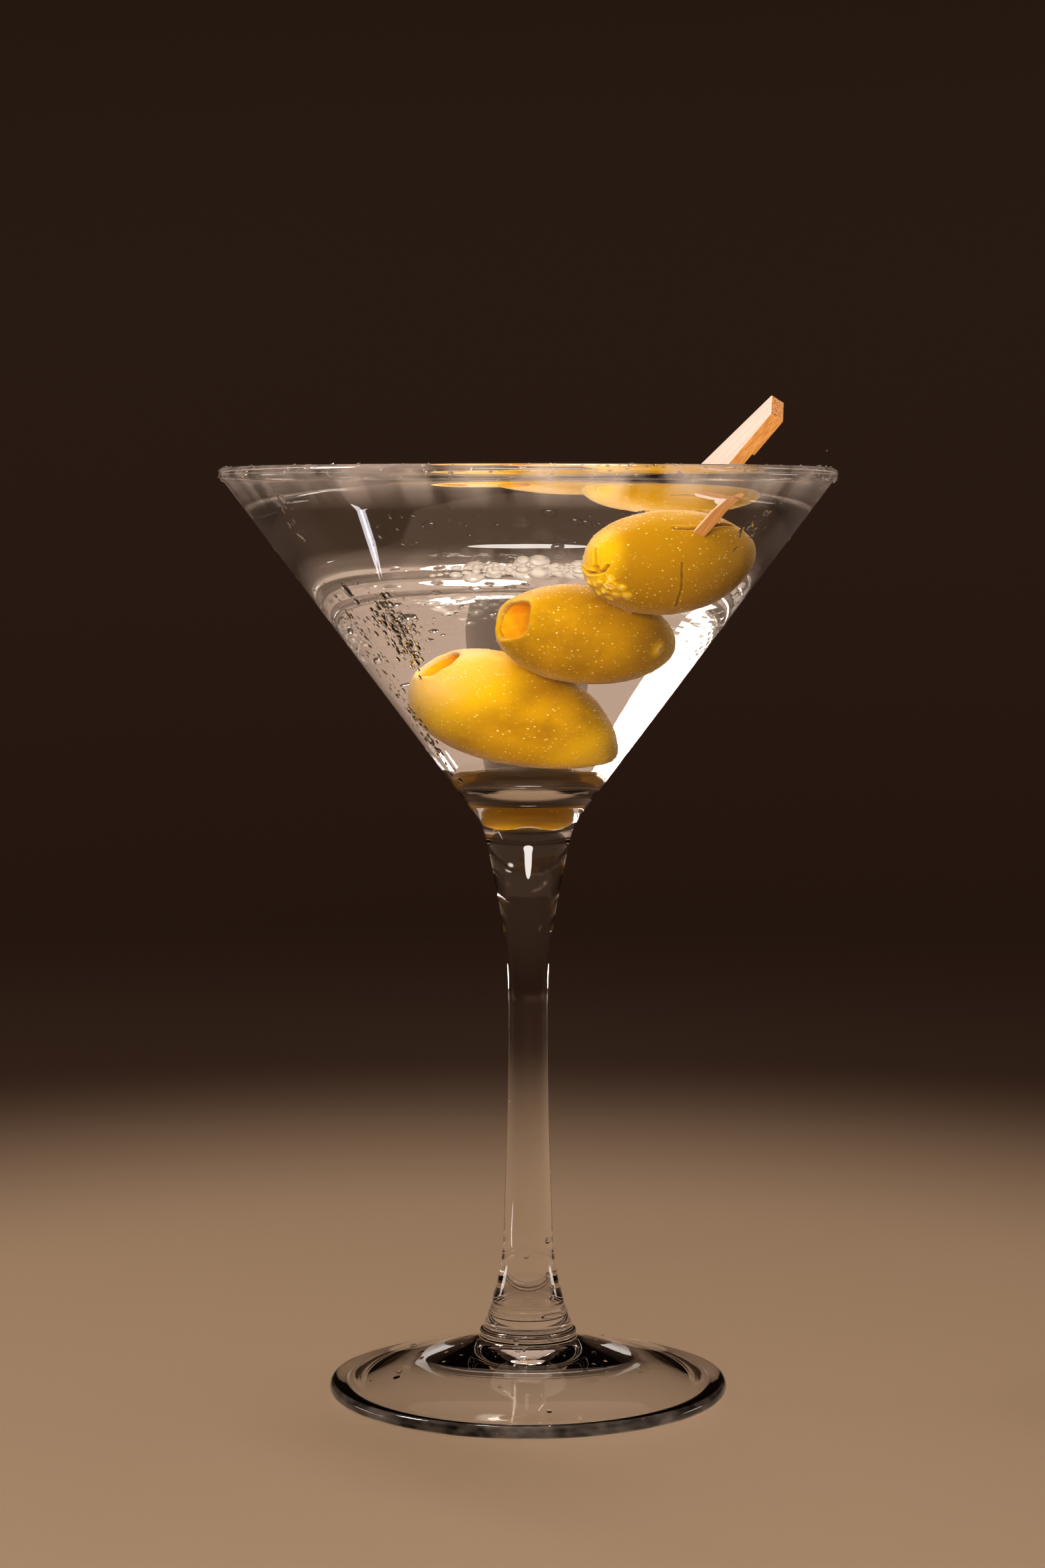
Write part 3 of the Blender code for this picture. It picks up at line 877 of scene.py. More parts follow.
def olive_flesh():
    """The wet orange flesh inside the pit holes."""
    material, tree, shader = new_material("olive_flesh")
    place = add_node(tree, "ShaderNodeTexCoord").outputs["Object"]
    base = add_group(tree, MOTTLE, place, {"Scale": 330.0, "First": FLESH_ORANGE, "Second": FLESH_YELLOW})
    tree.links.new(base.outputs["Color"], shader.inputs["Base Color"])
    shader.inputs["Roughness"].default_value = 0.5
    shader.inputs["IOR"].default_value = SKIN_INDEX
    shader.inputs["Subsurface Weight"].default_value = 0.3
    shader.inputs["Subsurface Radius"].default_value = (1.0, 0.72, 0.10)
    shader.inputs["Subsurface Scale"].default_value = 2.5 * MM
    roughen(tree, shader, place, {"Scale": 1400.0, "Detail": 2.0}, 0.6, 0.0001)
    return material


OLIVE_SKIN = olive_skin()
OLIVE_FLESH = olive_flesh()
print("olive materials:", OLIVE_SKIN.name, OLIVE_FLESH.name)

# %% [markdown]
# ## Olives
#
# Each olive is a spun section: from the far tip along the skin, over the lip of the pit hole and down
# into the cavity. The spun shape is too even, so its points are then moved in code, which is more exact
# than a texture and leaves a real shape. They are taken to a unit ball first, where the pit hole is turned
# off the axis to where it really is without leaving the skin. After that come slow dents, finer ones, and
# the cuts: each cut is a short line on the skin, and points close to it sink in. The top olive was pitted
# through a star cut, so its mouth is nearly shut and has three slits and a few lumps of pushed-out flesh.

# %% Olive dimensions
OLIVE_GRIDS = {             # how many steps round and along the skin
    "olive_top": (352, 160),
    "olive_middle": (240, 110),
    "olive_bottom": (240, 110),
}
OLIVE_TAPER = 0.05
LIP = 0.55 * MM
PIT_REACH = 0.3
PIT_WAIST = 1.12            # the cavity is this much wider inside than its mouth
FLESH_DEPTH = 0.93          # faces nearer to the middle than this share of the olive are flesh
CAVITY_DEPTH = 0.985        # points nearer to the middle than this share of the olive are in the cavity
CAVITY_WIDTH = 1.25         # if they are also within this many mouths of the axis
FAR_TIP = -0.999            # and not the far tip
TURN_BAND = (-0.1, 0.88)    # where along the olive the turn to the pit hole starts and is full
LIT_SIDE = Vector((-0.55, -0.10, 0.83)).normalized()     # painted light: skin facing this way, up and to the left where the light comes from, is painted a paler frost
LIT_BAND = (0.55, 1.0)
DENTS = ((110.0, 0.28), (330.0, 0.09), (1100.0, 0.025))     # noise scale and depth in mm, slow ones first
PIT_ROUGHNESS = 1.6         # the dents are this much deeper in the cavity
TORN_LIP = (700.0, 0.22)    # noise scale and depth in mm of the torn flesh round the mouth
TORN_WIDTH = 0.9 * MM
SQUARE_REACH = 1.6 * MM     # how far from the mouth the skin follows its squareness
EVERY_OLIVE_DIFFERS = 3.7   # moves the noise by this many times the olive's place
CUT_BANK = (0.16, 2.2)      # a cut's raised edge: share of its depth, and how many widths from its middle
CUT_WOBBLE = (0.35, 2500.0)     # how unevenly wide a cut is, and the noise's scale
LUMP_RELIEF = (0.8, 0.9, 1900.0)        # a lump's least height, what noise adds, and the noise's scale
LUMP_PALE = 0.9

# A cut: points in the olive's own axes, how wide it is, how deep, how dark and how much flesh shows.
CUTS = {
    "olive_top": [
        ([(10.26, -2.35, 3.9), (9.6, -4.61, 3.3), (8.23, -6.88, 2.31), (6.45, -8.64, 1.75),
          (4.16, -9.99, 1.0)], 0.19, 0.45, 0.95, 0.0),
        ([(8.73, 5.22, 5.4), (9.3, 5.0, 3.2), (9.4, 5.35, 0.6), (8.9, 5.9, -2.2), (8.06, 6.53, -4.6),
          (6.7, 6.8, -7.5)], 0.26, 0.7, 0.85, 0.0),
        ([(0.83, 1.76, 15.35), (1.13, 0.06, 15.52), (1.05, -1.56, 15.36), (0.6, -2.6, 15.1)],
         0.26, 1.0, 0.15, 1.0),
        ([(-3.1, -1.4, 14.8), (-1.9, -2.5, 15.0), (0.5, -3.05, 15.0), (2.4, -2.97, 14.6), (3.5, -2.0, 14.5)],
         0.26, 1.0, 0.22, 0.9),
    ],
    "olive_middle": [],
    "olive_bottom": [],
}
# A lump: its place in the olive's own axes, its radius and its height.
LUMPS = {
    "olive_top": [
        ((2.2, -5.5, 13.0), 1.25, 0.95), ((0.9, -4.6, 14.0), 0.7, 0.55), ((3.2, -4.4, 13.6), 0.8, 0.5),
        ((-0.6, -4.9, 13.9), 0.75, 0.6), ((-2.0, -4.3, 13.9), 0.8, 0.65), ((0.4, -6.3, 12.7), 0.8, 0.6),
        ((-1.5, -6.2, 12.5), 0.85, 0.7), ((1.6, -7.2, 11.4), 0.9, 0.5), ((-0.6, -7.5, 11.2), 0.7, 0.5),
        ((3.6, -6.4, 11.8), 0.8, 0.4), ((3.0, -7.9, 10.4), 0.9, 0.35),
    ],
    "olive_middle": [((7.4, -2.0, -9.6), 1.6, 0.35)],
    "olive_bottom": [((0.0, 0.0, -15.4), 1.5, 0.25)],
}


# %% Olive modelling
def olive_section(olive, rings):
    """From the far tip along the skin, over the lip and down into the pit cavity."""
    wide, far, mouth = olive["half_width"], olive["half_length"], olive["mouth_radius"]
    lip_angle = math.asin((mouth + LIP) / wide)
    skin = []
    for ring in range(rings + 1):
        angle = math.pi - (math.pi - lip_angle) * ring / rings
        skin.append((wide * math.sin(angle), far * math.cos(angle)))
    skin[0] = (0.0, -far)
    edge = skin[-1]
    below_lip = (mouth, edge[1] - 1.3 * LIP)
    lip = bezier(edge, (mouth + 0.45 * LIP, edge[1] + 0.22 * LIP), (mouth, edge[1] - 0.2 * LIP), below_lip, 8)
    inside = mouth * PIT_WAIST
    deep = (inside, 0.25 * far)
    bottom = -PIT_REACH * far
    cavity = bezier(below_lip, (mouth, below_lip[1] - 1.5 * LIP), (inside, 0.6 * far), deep, 16)
    cavity += straight(deep, (inside, bottom + inside), 8)
    cavity += arc((0.0, bottom + inside), inside, 0.0, -math.pi / 2, 8)[1:-1] + [(0.0, bottom)]
    return skin + lip + cavity


def nearest_on_cut(spot, points):
    """Distance from a spot to a cut's line of points."""
    best = 1.0
    for start, end in zip(points, points[1:]):
        run = end - start
        share = share_of((spot - start).dot(run), 0.0, run.length_squared)
        best = min(best, (spot - start - run * share).length)
    return best


def smooth_step(value, low, high):
    """share_of with soft ends."""
    share = share_of(value, low, high)
    return share * share * (3 - 2 * share)


def dent_depth(spot):
    """How far slow and fine dents move a point outwards."""
    return sum(noise.noise(spot * scale) * depth * MM for scale, depth in DENTS)


def cut_and_lumped(local, name):
    """What an olive's cuts and lumps do at a point: move it, darken it, open it and make it pale."""
    move, dark, opened, pale = 0.0, 0.0, 0.0, 0.0
    for line, width, sink, darkness, flesh in CUTS[name]:
        width, sink = width * MM, sink * MM
        reach = nearest_on_cut(local, [Vector(point) * MM for point in line])
        if reach < 4 * width:
            wobble = 1.0 + CUT_WOBBLE[0] * noise.noise(local * CUT_WOBBLE[1])
            close = math.exp(-(reach / (width * wobble)) ** 2)
            bank = math.exp(-((reach - CUT_BANK[1] * width) / width) ** 2)
            move += sink * (CUT_BANK[0] * bank - close)
            dark = max(dark, darkness * close)
            opened = max(opened, flesh * close)
    for centre, width, height in LUMPS[name]:
        reach = (local - Vector(centre) * MM).length / (width * MM)
        if reach < 3:
            close = math.exp(-reach ** 2)
            least, more, scale = LUMP_RELIEF
            move += height * MM * close * (least + more * noise.noise(local * scale))
            pale = max(pale, LUMP_PALE * close)
    return move, dark, opened, pale


def make_olive(name, olive):
    """The finished olive, its skin and flesh in two material slots."""
    steps, rings = OLIVE_GRIDS[name]
    work = spun(olive_section(olive, rings), steps)
    wide, far, mouth = olive["half_width"], olive["half_length"], olive["mouth_radius"]
    mouth_x, mouth_y = (side / wide for side in olive["mouth"])
    mouth_way = Vector((mouth_x, mouth_y, math.sqrt(1.0 - mouth_x ** 2 - mouth_y ** 2)))
    turn_axis, turn_angle = Vector((0.0, 0.0, 1.0)).rotation_difference(mouth_way).to_axis_angle()
    stretch = Vector((wide, wide, far))
    masks = {mask: work.verts.layers.float.new(mask) for mask in OLIVE_MASKS}
    place = axes_along(olive["pitted_end"], olive["centre"])
    offset = olive["centre"] * EVERY_OLIVE_DIFFERS
    near_pale, near_start, far_pale, far_start = olive["pale"]
    rim_angle = math.asin((mouth + 0.5 * LIP) / wide)
    for corner in work.verts:
        # On a unit ball: square off the mouth, then turn the pitted end to where the hole is.
        unit = Vector(corner.co[i] / stretch[i] for i in range(3))
        turn = math.atan2(unit.y, unit.x)
        from_rim = (math.acos(min(max(unit.normalized().z, -1.0), 1.0)) - rim_angle) * wide
        at_lip = math.exp(-max(from_rim, 0.0) / SQUARE_REACH)
        square = 1.0 - olive["squareness"] * math.cos(4.0 * turn) * at_lip
        unit.x *= square
        unit.y *= square
        depth = unit.length
        on_axis = unit.z / max(depth, 1e-6)
        near_axis = unit.xy.length * wide < mouth * CAVITY_WIDTH
        inside = depth < CAVITY_DEPTH and on_axis > FAR_TIP and near_axis
        share = 1.0 if inside else smooth_step(on_axis, *TURN_BAND)
        unit.rotate(Matrix.Rotation(turn_angle * share, 3, turn_axis))

        # At full size: taper it, then dent, tear and cut it along the outward direction.
        local = Vector(unit[i] * stretch[i] for i in range(3))
        if not inside:
            thin = 1.0 + OLIVE_TAPER * unit.z - olive["point"] * max(-unit.z, 0.0) ** 4
            local.x *= thin
            local.y *= thin
        out = Vector(local[i] / stretch[i] ** 2 for i in range(3)).normalized()
        move = dent_depth(local + offset) * (PIT_ROUGHNESS if inside else 1.0)
        torn = math.exp(-(from_rim / TORN_WIDTH) ** 2)
        move += torn * noise.noise((local + offset) * TORN_LIP[0]) * TORN_LIP[1] * MM
        added, dark, opened, pale = (0.0, 0.0, 0.0, 0.0) if inside else cut_and_lumped(local, name)
        near_end = near_pale * smooth_step(unit.z, near_start, 1.0)
        far_end = far_pale * smooth_step(-unit.z, far_start, 1.0)
        # Painted light: the side that faces the light is marked for a paler frost.
        lit = smooth_step((place.to_3x3() @ out).dot(LIT_SIDE), *LIT_BAND)
        corner[masks["amber"]] = olive["amber"]
        corner[masks["pale"]] = max(near_end, far_end, pale)
        corner[masks["open"]] = opened
        corner[masks["cut"]] = dark
        corner[masks["bloom_and_painted_light"]] = olive["bloom_and_painted_light"] * lit
        corner.co = place @ (local + out * (move + added))
    piece = finished(work, name + "_fruit", OLIVE_SKIN)
    piece.data.materials.append(OLIVE_FLESH)
    return piece


def paint_flesh(piece, olive):
    """Gives the faces inside the pit hole the flesh's material, by their depth under the skin."""
    back = axes_along(olive["pitted_end"], olive["centre"]).inverted()
    wide, far = olive["half_width"], olive["half_length"]
    inner = 0
    for face in piece.data.polygons:
        local = back @ face.center
        if Vector((local.x / wide, local.y / wide, local.z / far)).length < FLESH_DEPTH:
            face.material_index = 1
            inner += 1
    print(piece.name, "faces of flesh:", inner)


olives = {}
for olive_name, olive in OLIVES.items():
    olives[olive_name] = make_olive(olive_name, olive)
    paint_flesh(olives[olive_name], olive)

# %% [markdown]
# ## Air beads
#
# Tiny beads of air cling to the olives' skin in patches, most of them where it turns away to the sides. A
# bead is an icosphere of twenty faces, and all of them are joined into one mesh. Copying its points with
# an array of places is quick, where as many separate objects or operators would be slow. The places come
# from the olives' own faces, drawn with a fixed seed.

# %% Copying a small shape
def copies_of(shape, places, name, material):
    """One object that holds a copy of the bmesh shape at each place. The shape is freed."""
    corners = np.array([corner.co for corner in shape.verts])
    faces = [[corner.index for corner in face.verts] for face in shape.faces]
    shape.free()
    turned_corners = []
    all_faces = []
    for count, place in enumerate(places):
        grid = np.array(place)
        turned_corners.append(corners @ grid[:3, :3].T + grid[:3, 3])
        all_faces += [[index + count * len(corners) for index in face] for face in faces]
    mesh = bpy.data.meshes.new(name)
    mesh.from_pydata(np.concatenate(turned_corners).tolist(), [], all_faces)
    mesh.materials.append(material)
    mesh.shade_smooth()
    piece = bpy.data.objects.new(name, mesh)
    bpy.context.scene.collection.objects.link(piece)
    print(f"{name}: {len(places)} copies, {len(mesh.polygons)} faces")
    return piece


def small_ball():
    """A ball of twenty faces, one unit in radius."""
    work = bmesh.new()
    bmesh.ops.create_icosphere(work, subdivisions=1, radius=1.0)
    work.verts.index_update()
    return work


# %% Make the air beads
BEADS_PER_OLIVE = 2600      # tries, of which most in the middle of the skin are dropped
BEAD_SIZES = (0.04 * MM, 0.11 * MM)
BEAD_SUNK = 0.4             # the bead's middle stands this share of its radius off the skin
BEAD_PATCHES = 160.0        # the scale of the patches that the beads gather in
BEADS_KEPT = (0.12, 0.9)    # the share kept in front, and what the edges add
BEAD_EDGES = (0.35, 0.9)    # how far the skin turns from the front where that starts and is full
BEAD_PALE = (0.95, 0.84, 0.62)
BEAD_DARK = (0.80, 0.58, 0.28)


def air_bead_material():
    """Air against olive skin: a glossy, pale thing of no clear colour."""
    material, tree, shader = new_material("air_bead")
    place = add_node(tree, "ShaderNodeTexCoord").outputs["Object"]
    tone = add_group(tree, MOTTLE, place, {"Scale": 900.0, "First": BEAD_PALE, "Second": BEAD_DARK})
    tree.links.new(tone.outputs["Color"], shader.inputs["Base Color"])
    shader.inputs["Roughness"].default_value = 0.18
    shader.inputs["IOR"].default_value = 1.5
    shader.inputs["Sheen Weight"].default_value = 0.3
    return material


def skin_faces(piece):
    """The skin's faces by their corners' numbers, as bmesh can leave them in another order each run."""
    faces = [face for face in piece.data.polygons if face.material_index == 0]
    return sorted(faces, key=lambda face: sorted(face.vertices))


def bead_places(dice):
    """Places drawn evenly over each skin, then thinned out away from its edges."""
    places = []
    for piece in olives.values():
        faces = skin_faces(piece)
        areas = np.array([face.area for face in faces])
        shares = np.cumsum(areas) / areas.sum()
        for _ in range(BEADS_PER_OLIVE):
            drawn = int(np.searchsorted(shares, dice.random()))
            face = faces[min(drawn, len(faces) - 1)]
            size = BEAD_SIZES[0] + (BEAD_SIZES[1] - BEAD_SIZES[0]) * dice.random() ** 3
            spot = face.center + face.normal * size * BEAD_SUNK
            patch = 0.5 + noise.noise(face.center * BEAD_PATCHES)
            at_edge = smooth_step(1.0 - abs(face.normal.y), *BEAD_EDGES)
            keep = BEADS_KEPT[0] + BEADS_KEPT[1] * at_edge * patch
            if spot.z + size > DRINK_LEVEL or dice.random() > keep:
                continue
            places.append(Matrix.Translation(spot) @ Matrix.Scale(size, 4))
    return places


beads = copies_of(small_ball(), bead_places(random.Random(11)), "air_beads", air_bead_material())

# %% [markdown]
# ## Pick
#
# The pick is sawn from a flat strip of bamboo: a thin shaft, a shoulder that starts lower on one side
# than on the other, and a broad handle whose front edge slants towards the tip. Its outline is a few
# points, closed by two faces that share the edge where the thicker butt begins. Extruding both gives the
# board, and extruding the butt's lower face once more gives its step, so the whole pick stays one closed
# skin. Its edges are broken with a small bevel.
#
# Bamboo's grain has to follow the pick, which stands at a slant, so the modelling step writes each
# point's place on the board as an attribute before the pick is turned. Stretched along the board, soft
# clouds become streaks. Two more attributes say which faces are the tan sides and which the cut end.

# %% Pick dimensions
SHAFT_WIDTH = 1.8 * MM
SHAFT_END = -49.0 * MM
POINT_LENGTH = 5.0 * MM
BACK_SHOULDER = 13.4 * MM
FRONT_SHOULDER = 19.3 * MM
HANDLE_END = 33.9 * MM
HANDLE_BACK = 4.8 * MM
HANDLE_FRONT = 3.9 * MM
HANDLE_TIP = 0.6 * MM
SHOULDER_RUN = 1.6 * MM
PICK_THICKNESS = 2.4 * MM
BUTT_START = 25.7 * MM
BUTT_EXTRA = 0.45 * MM
EDGE_BREAK = 0.16 * MM
SHARP_EDGE = 0.3            # radians between two faces, from which an edge is broken

# %% Bamboo
BAMBOO_PALE = (0.68, 0.55, 0.50)
BAMBOO_CREAM = (0.74, 0.63, 0.58)
BAMBOO_TAN = (0.50, 0.25, 0.09)
BAMBOO_HONEY = (0.64, 0.35, 0.14)
BAMBOO_FIBRE = (0.55, 0.22, 0.06)
END_PITH = (0.56, 0.31, 0.14)
END_FIBRE = (0.34, 0.14, 0.04)
ALONG_GRAIN = 0.035         # how much a pattern is drawn out along the board
FIBRE_BAND = (0.60, 0.72)   # the top of the noise, which becomes dark lines
SIDE_TURN = (0.55, 0.95)    # how squarely a face looks out of the board's face, from tan to pale
END_TURN = (0.80, 0.95)     # and along the board, from side to cut end


def bamboo():
    """Pale faces, tan sides with darker lines, and an end of cut fibres."""
    material, tree, shader = new_material("bamboo")
    on_board = add_node(tree, "ShaderNodeAttribute", attribute_name="grain").outputs["Vector"]
    stretch = add_node(tree, "ShaderNodeMapping", {"Scale": (1.0, ALONG_GRAIN, 1.0)})
    tree.links.new(on_board, stretch.inputs["Vector"])
    along = stretch.outputs["Vector"]
    streaks = add_group(tree, MOTTLE, along, {"Scale": 2600.0, "First": BAMBOO_TAN, "Second": BAMBOO_HONEY})
    pale = add_group(tree, MOTTLE, along, {"Scale": 1500.0, "First": BAMBOO_PALE, "Second": BAMBOO_CREAM})
    lines = add_node(tree, "ShaderNodeTexNoise", {"Scale": 5200.0, "Detail": 1.0})
    tree.links.new(along, lines.inputs["Vector"])
    dark_lines = ramp_between(tree, lines.outputs["Fac"], *FIBRE_BAND)
    side = blend_colours(tree, dark_lines, streaks.outputs["Color"], BAMBOO_FIBRE)
    dots = add_group(tree, SPECKS, on_board, {"Scale": 1900.0, "Size": 0.42})
    cut_end = blend_colours(tree, dots.outputs["Mask"], END_PITH, END_FIBRE)
    colour = blend_colours(tree, mask_of(tree, "tan"), pale.outputs["Color"], side)
    colour = blend_colours(tree, mask_of(tree, "end_grain"), colour, cut_end)
    tree.links.new(colour, shader.inputs["Base Color"])
    shader.inputs["Roughness"].default_value = 0.55
    shader.inputs["Specular IOR Level"].default_value = 0.35
    shader.inputs["Subsurface Weight"].default_value = 0.08
    shader.inputs["Subsurface Scale"].default_value = 1.0 * MM
    bump = add_node(tree, "ShaderNodeBump", {"Strength": 0.45, "Distance": 0.00008})
    tree.links.new(lines.outputs["Fac"], bump.inputs["Height"])
    tree.links.new(bump.outputs["Normal"], shader.inputs["Normal"])
    return material


BAMBOO = bamboo()
print("bamboo's nodes:", len(BAMBOO.node_tree.nodes))


# %% Pick modelling
def pick_axes():
    """Local Y runs to the handle's end, local Z out of the pale face."""
    along = PICK_DIRECTION
    face = (PICK_FACE - PICK_FACE.dot(along) * along).normalized()
    across = along.cross(face)
    turn = Matrix((across, along, face)).transposed().to_4x4()
    return Matrix.Translation(PICK_POINT) @ turn


def outline_face(work, points, height):
    """One flat face through these points at this height."""
    return work.faces.new([work.verts.new((x, y, height)) for x, y in points])


def push_out(work, faces, way):
    """Extrudes faces along way and returns the moved copies."""
    grown = bmesh.ops.extrude_face_region(work, geom=faces)["geom"]
    corners = [part for part in grown if isinstance(part, bmesh.types.BMVert)]
    bmesh.ops.translate(work, verts=corners, vec=way)
    return [part for part in grown if isinstance(part, bmesh.types.BMFace)]


def make_pick():
    """The board with its thicker butt, lying along local Y."""
    half = PICK_THICKNESS / 2
    shaft = SHAFT_WIDTH / 2
    point = SHAFT_WIDTH / 4
    run = (BUTT_START - FRONT_SHOULDER) / (HANDLE_END - FRONT_SHOULDER)
    butt_front = HANDLE_FRONT + (HANDLE_TIP - HANDLE_FRONT) * run
    board = [
        (-point, SHAFT_END), (point, SHAFT_END),
        (shaft, SHAFT_END + POINT_LENGTH), (shaft, FRONT_SHOULDER - SHOULDER_RUN),
        (HANDLE_FRONT, FRONT_SHOULDER), (butt_front, BUTT_START),
        (-HANDLE_BACK, BUTT_START), (-HANDLE_BACK, BACK_SHOULDER),
        (-shaft, BACK_SHOULDER - SHOULDER_RUN), (-shaft, SHAFT_END + POINT_LENGTH),
    ]
    butt = [
        (-HANDLE_BACK, BUTT_START), (butt_front, BUTT_START),
        (HANDLE_TIP, HANDLE_END), (-HANDLE_BACK, HANDLE_END),
    ]
    work = bmesh.new()
    outline_face(work, board, half)
    outline_face(work, butt, half)
    bmesh.ops.remove_doubles(work, verts=work.verts, dist=SAME_POINT)
    lower = push_out(work, list(work.faces), Vector((0.0, 0.0, -PICK_THICKNESS)))
    butt_below = [face for face in lower if face.calc_center_median().y > BUTT_START]
    push_out(work, butt_below, Vector((0.0, 0.0, -BUTT_EXTRA)))
    bmesh.ops.delete(work, geom=butt_below, context="FACES_ONLY")
    bmesh.ops.recalc_face_normals(work, faces=work.faces)
    sharp = [edge for edge in work.edges if len(edge.link_faces) == 2 and edge.calc_face_angle() > SHARP_EDGE]
    bmesh.ops.bevel(
        work, geom=sharp, offset=EDGE_BREAK, affect="EDGES", segments=2, profile=0.5, material=-1)
    open_edges = sum(1 for edge in work.edges if len(edge.link_faces) != 2)
    print("pick: open edges", open_edges)
    return work


def finish_pick(work):
    """Writes the grain attributes, sets the pick in place and makes the object."""
    grain = work.verts.layers.float_vector.new("grain")
    for corner in work.verts:
        corner[grain] = corner.co
    local_normals = [face.normal.copy() for face in work.faces]
    bmesh.ops.transform(work, matrix=pick_axes(), verts=work.verts)
    piece = finished(work, "bamboo_pick", BAMBOO, smooth=False)
    tan = piece.data.attributes.new("tan", "FLOAT", "FACE")
    end = piece.data.attributes.new("end_grain", "FLOAT", "FACE")
    for index, normal in enumerate(local_normals):
        tan.data[index].value = 1.0 - smooth_step(normal.z, *SIDE_TURN)
        end.data[index].value = smooth_step(normal.y, *END_TURN)
    return piece


pick = finish_pick(make_pick())

# %% [markdown]
# ## Drops on the glass
#
# The glass is cold, so water has settled on it: patches of drops on the left of the bowl and on the far
# wall, fine ones all along the rim, and round beads on the stem's base. A drop is a small ball with its
# lower half pressed flat, set on the wall with its length down the slope. Each patch is an angle round
# the axis, a height and how far it spreads. A particle system could scatter them too, but places that
# are drawn with a fixed seed are the same each time and leave a plain mesh.

# %% Drop tools
DROP_UNDERSIDE = 0.12       # how far a drop's lower half reaches down, as a share of its upper half


def drop_shape(around, rings):
    """A unit drop: a round top and a nearly flat underside, standing on local Z."""
    work = bmesh.new()
    bmesh.ops.create_uvsphere(work, u_segments=around, v_segments=rings, radius=1.0)
    for corner in work.verts:
        if corner.co.z < 0:
            corner.co.z *= DROP_UNDERSIDE
    work.verts.index_update()
    return work


UPRIGHT = Vector((0.0, 0.0, 1.0))


def away_from_axis(turn):
    """The level direction at this angle round the axis, in radians from the front."""
    return Vector((math.sin(turn), -math.cos(turn), 0.0))


def place_on(spot, up, out):
    """A place at spot whose local Y is up and whose local Z is out."""
    return Matrix.Translation(spot) @ Matrix((up.cross(out), up, out)).transposed().to_4x4()


def on_bowl(angle, height):
    """A place on the bowl's outer wall, local Y up its slope. The angle is in degrees from the front."""
    around = away_from_axis(math.radians(angle))
    out = (around * math.cos(WALL_LEAN) - UPRIGHT * math.sin(WALL_LEAN)).normalized()
    up = (around * math.sin(WALL_LEAN) + UPRIGHT * math.cos(WALL_LEAN)).normalized()
    return place_on(around * wall_radius(height, OUTER_OFFSET) + UPRIGHT * height, up, out)


def sized(place, width, length, thick, turn=0.0):
    """The place, turned about its outward direction and stretched to a drop's three sizes."""
    scale = Matrix.Diagonal((width / 2, length / 2, thick, 1.0))
    return place @ Matrix.Rotation(turn, 4, "Z") @ scale


# %% Drops on the bowl
PATCHES = [
    # angle, height in mm, spread in degrees and mm, how many, mean length in mm
    (-41.0, 149.0, 6.5, 4.2, 120, 1.3),
    (-37.0, 146.5, 5.5, 4.2, 90, 1.2),
    (-41.0, 142.5, 5.0, 3.2, 70, 1.1),
    (-58.0, 144.0, 5.0, 9.0, 130, 0.7),
    (-60.0, 128.0, 6.0, 7.0, 120, 0.8),
    (-57.0, 168.0, 4.0, 3.5, 18, 2.2),
    (-29.0, 166.0, 5.0, 4.0, 14, 0.9),
    (52.0, 166.0, 5.0, 3.5, 20, 1.5),
    (180.0, 171.5, 11.0, 2.0, 16, 1.6),
    (180.0, 165.0, 16.0, 3.0, 18, 1.6),
    (180.0, 160.0, 40.0, 8.0, 60, 1.0),
    (100.0, 160.0, 25.0, 9.0, 40, 1.1),
    (-110.0, 158.0, 25.0, 9.0, 50, 1.1),
]
GATHERED = 0.6              # a patch's standard deviation, as a share of its spread
DROP_LENGTHS = (0.30, 1.1)  # the least length and what the draw adds, as shares of the patch's mean
DROP_WIDTHS = (0.55, 0.95)  # shares of a drop's length
DROP_HEIGHT = 0.22          # share of its width
DROP_SLANT = 0.25           # radians
LONG_DROP = (-51.0, 153.9 * MM, 1.9 * MM, 3.4 * MM, 0.45 * MM)     # angle, height, width, length, thickness


def bowl_drops(dice):
    """The places of every patch's drops, and of one long drop by itself."""
    places = []
    for angle, height, wide, tall, count, mean in PATCHES:
        for _ in range(count):
            aside = dice.gauss(0.0, wide * GATHERED)
            above = dice.gauss(0.0, tall * GATHERED)
            length = mean * MM * (DROP_LENGTHS[0] + DROP_LENGTHS[1] * dice.random() ** 2)
            width = length * dice.uniform(*DROP_WIDTHS)
            at = on_bowl(angle + aside, (height + above) * MM)
            places.append(sized(at, width, length, width * DROP_HEIGHT, dice.gauss(0.0, DROP_SLANT)))
    angle, height, *sizes = LONG_DROP
    places.append(sized(on_bowl(angle, height), *sizes, DROP_SLANT))
    return places


bowl_water = let_light_through(
    copies_of(drop_shape(10, 6), bowl_drops(random.Random(5)), "bowl_drops", WATER_DROP))


# %% Drops along the rim
RIM_DROPS = 420
RIM_LENGTHS = (0.25 * MM, 1.0 * MM)
RIM_WIDTHS = (0.5, 0.9)     # shares of the length
RIM_HEIGHT = 0.35           # share of the width
RIM_SEAT = (0.4, 0.9)       # where round the bead they sit: mean and deviation, in radians
RIM_SLANT = 0.3


def on_rim(turn, around_bead):
    """A place on the rim's round bead, local X along the rim. around_bead is 0 at its outermost line."""
    around = away_from_axis(turn)
    out = around * math.cos(around_bead) + UPRIGHT * math.sin(around_bead)
    along = UPRIGHT.cross(around)
    middle = around * BEAD_CENTRE[0] + UPRIGHT * BEAD_CENTRE[1]
    return place_on(middle + out * BEAD_RADIUS, out.cross(along), out)


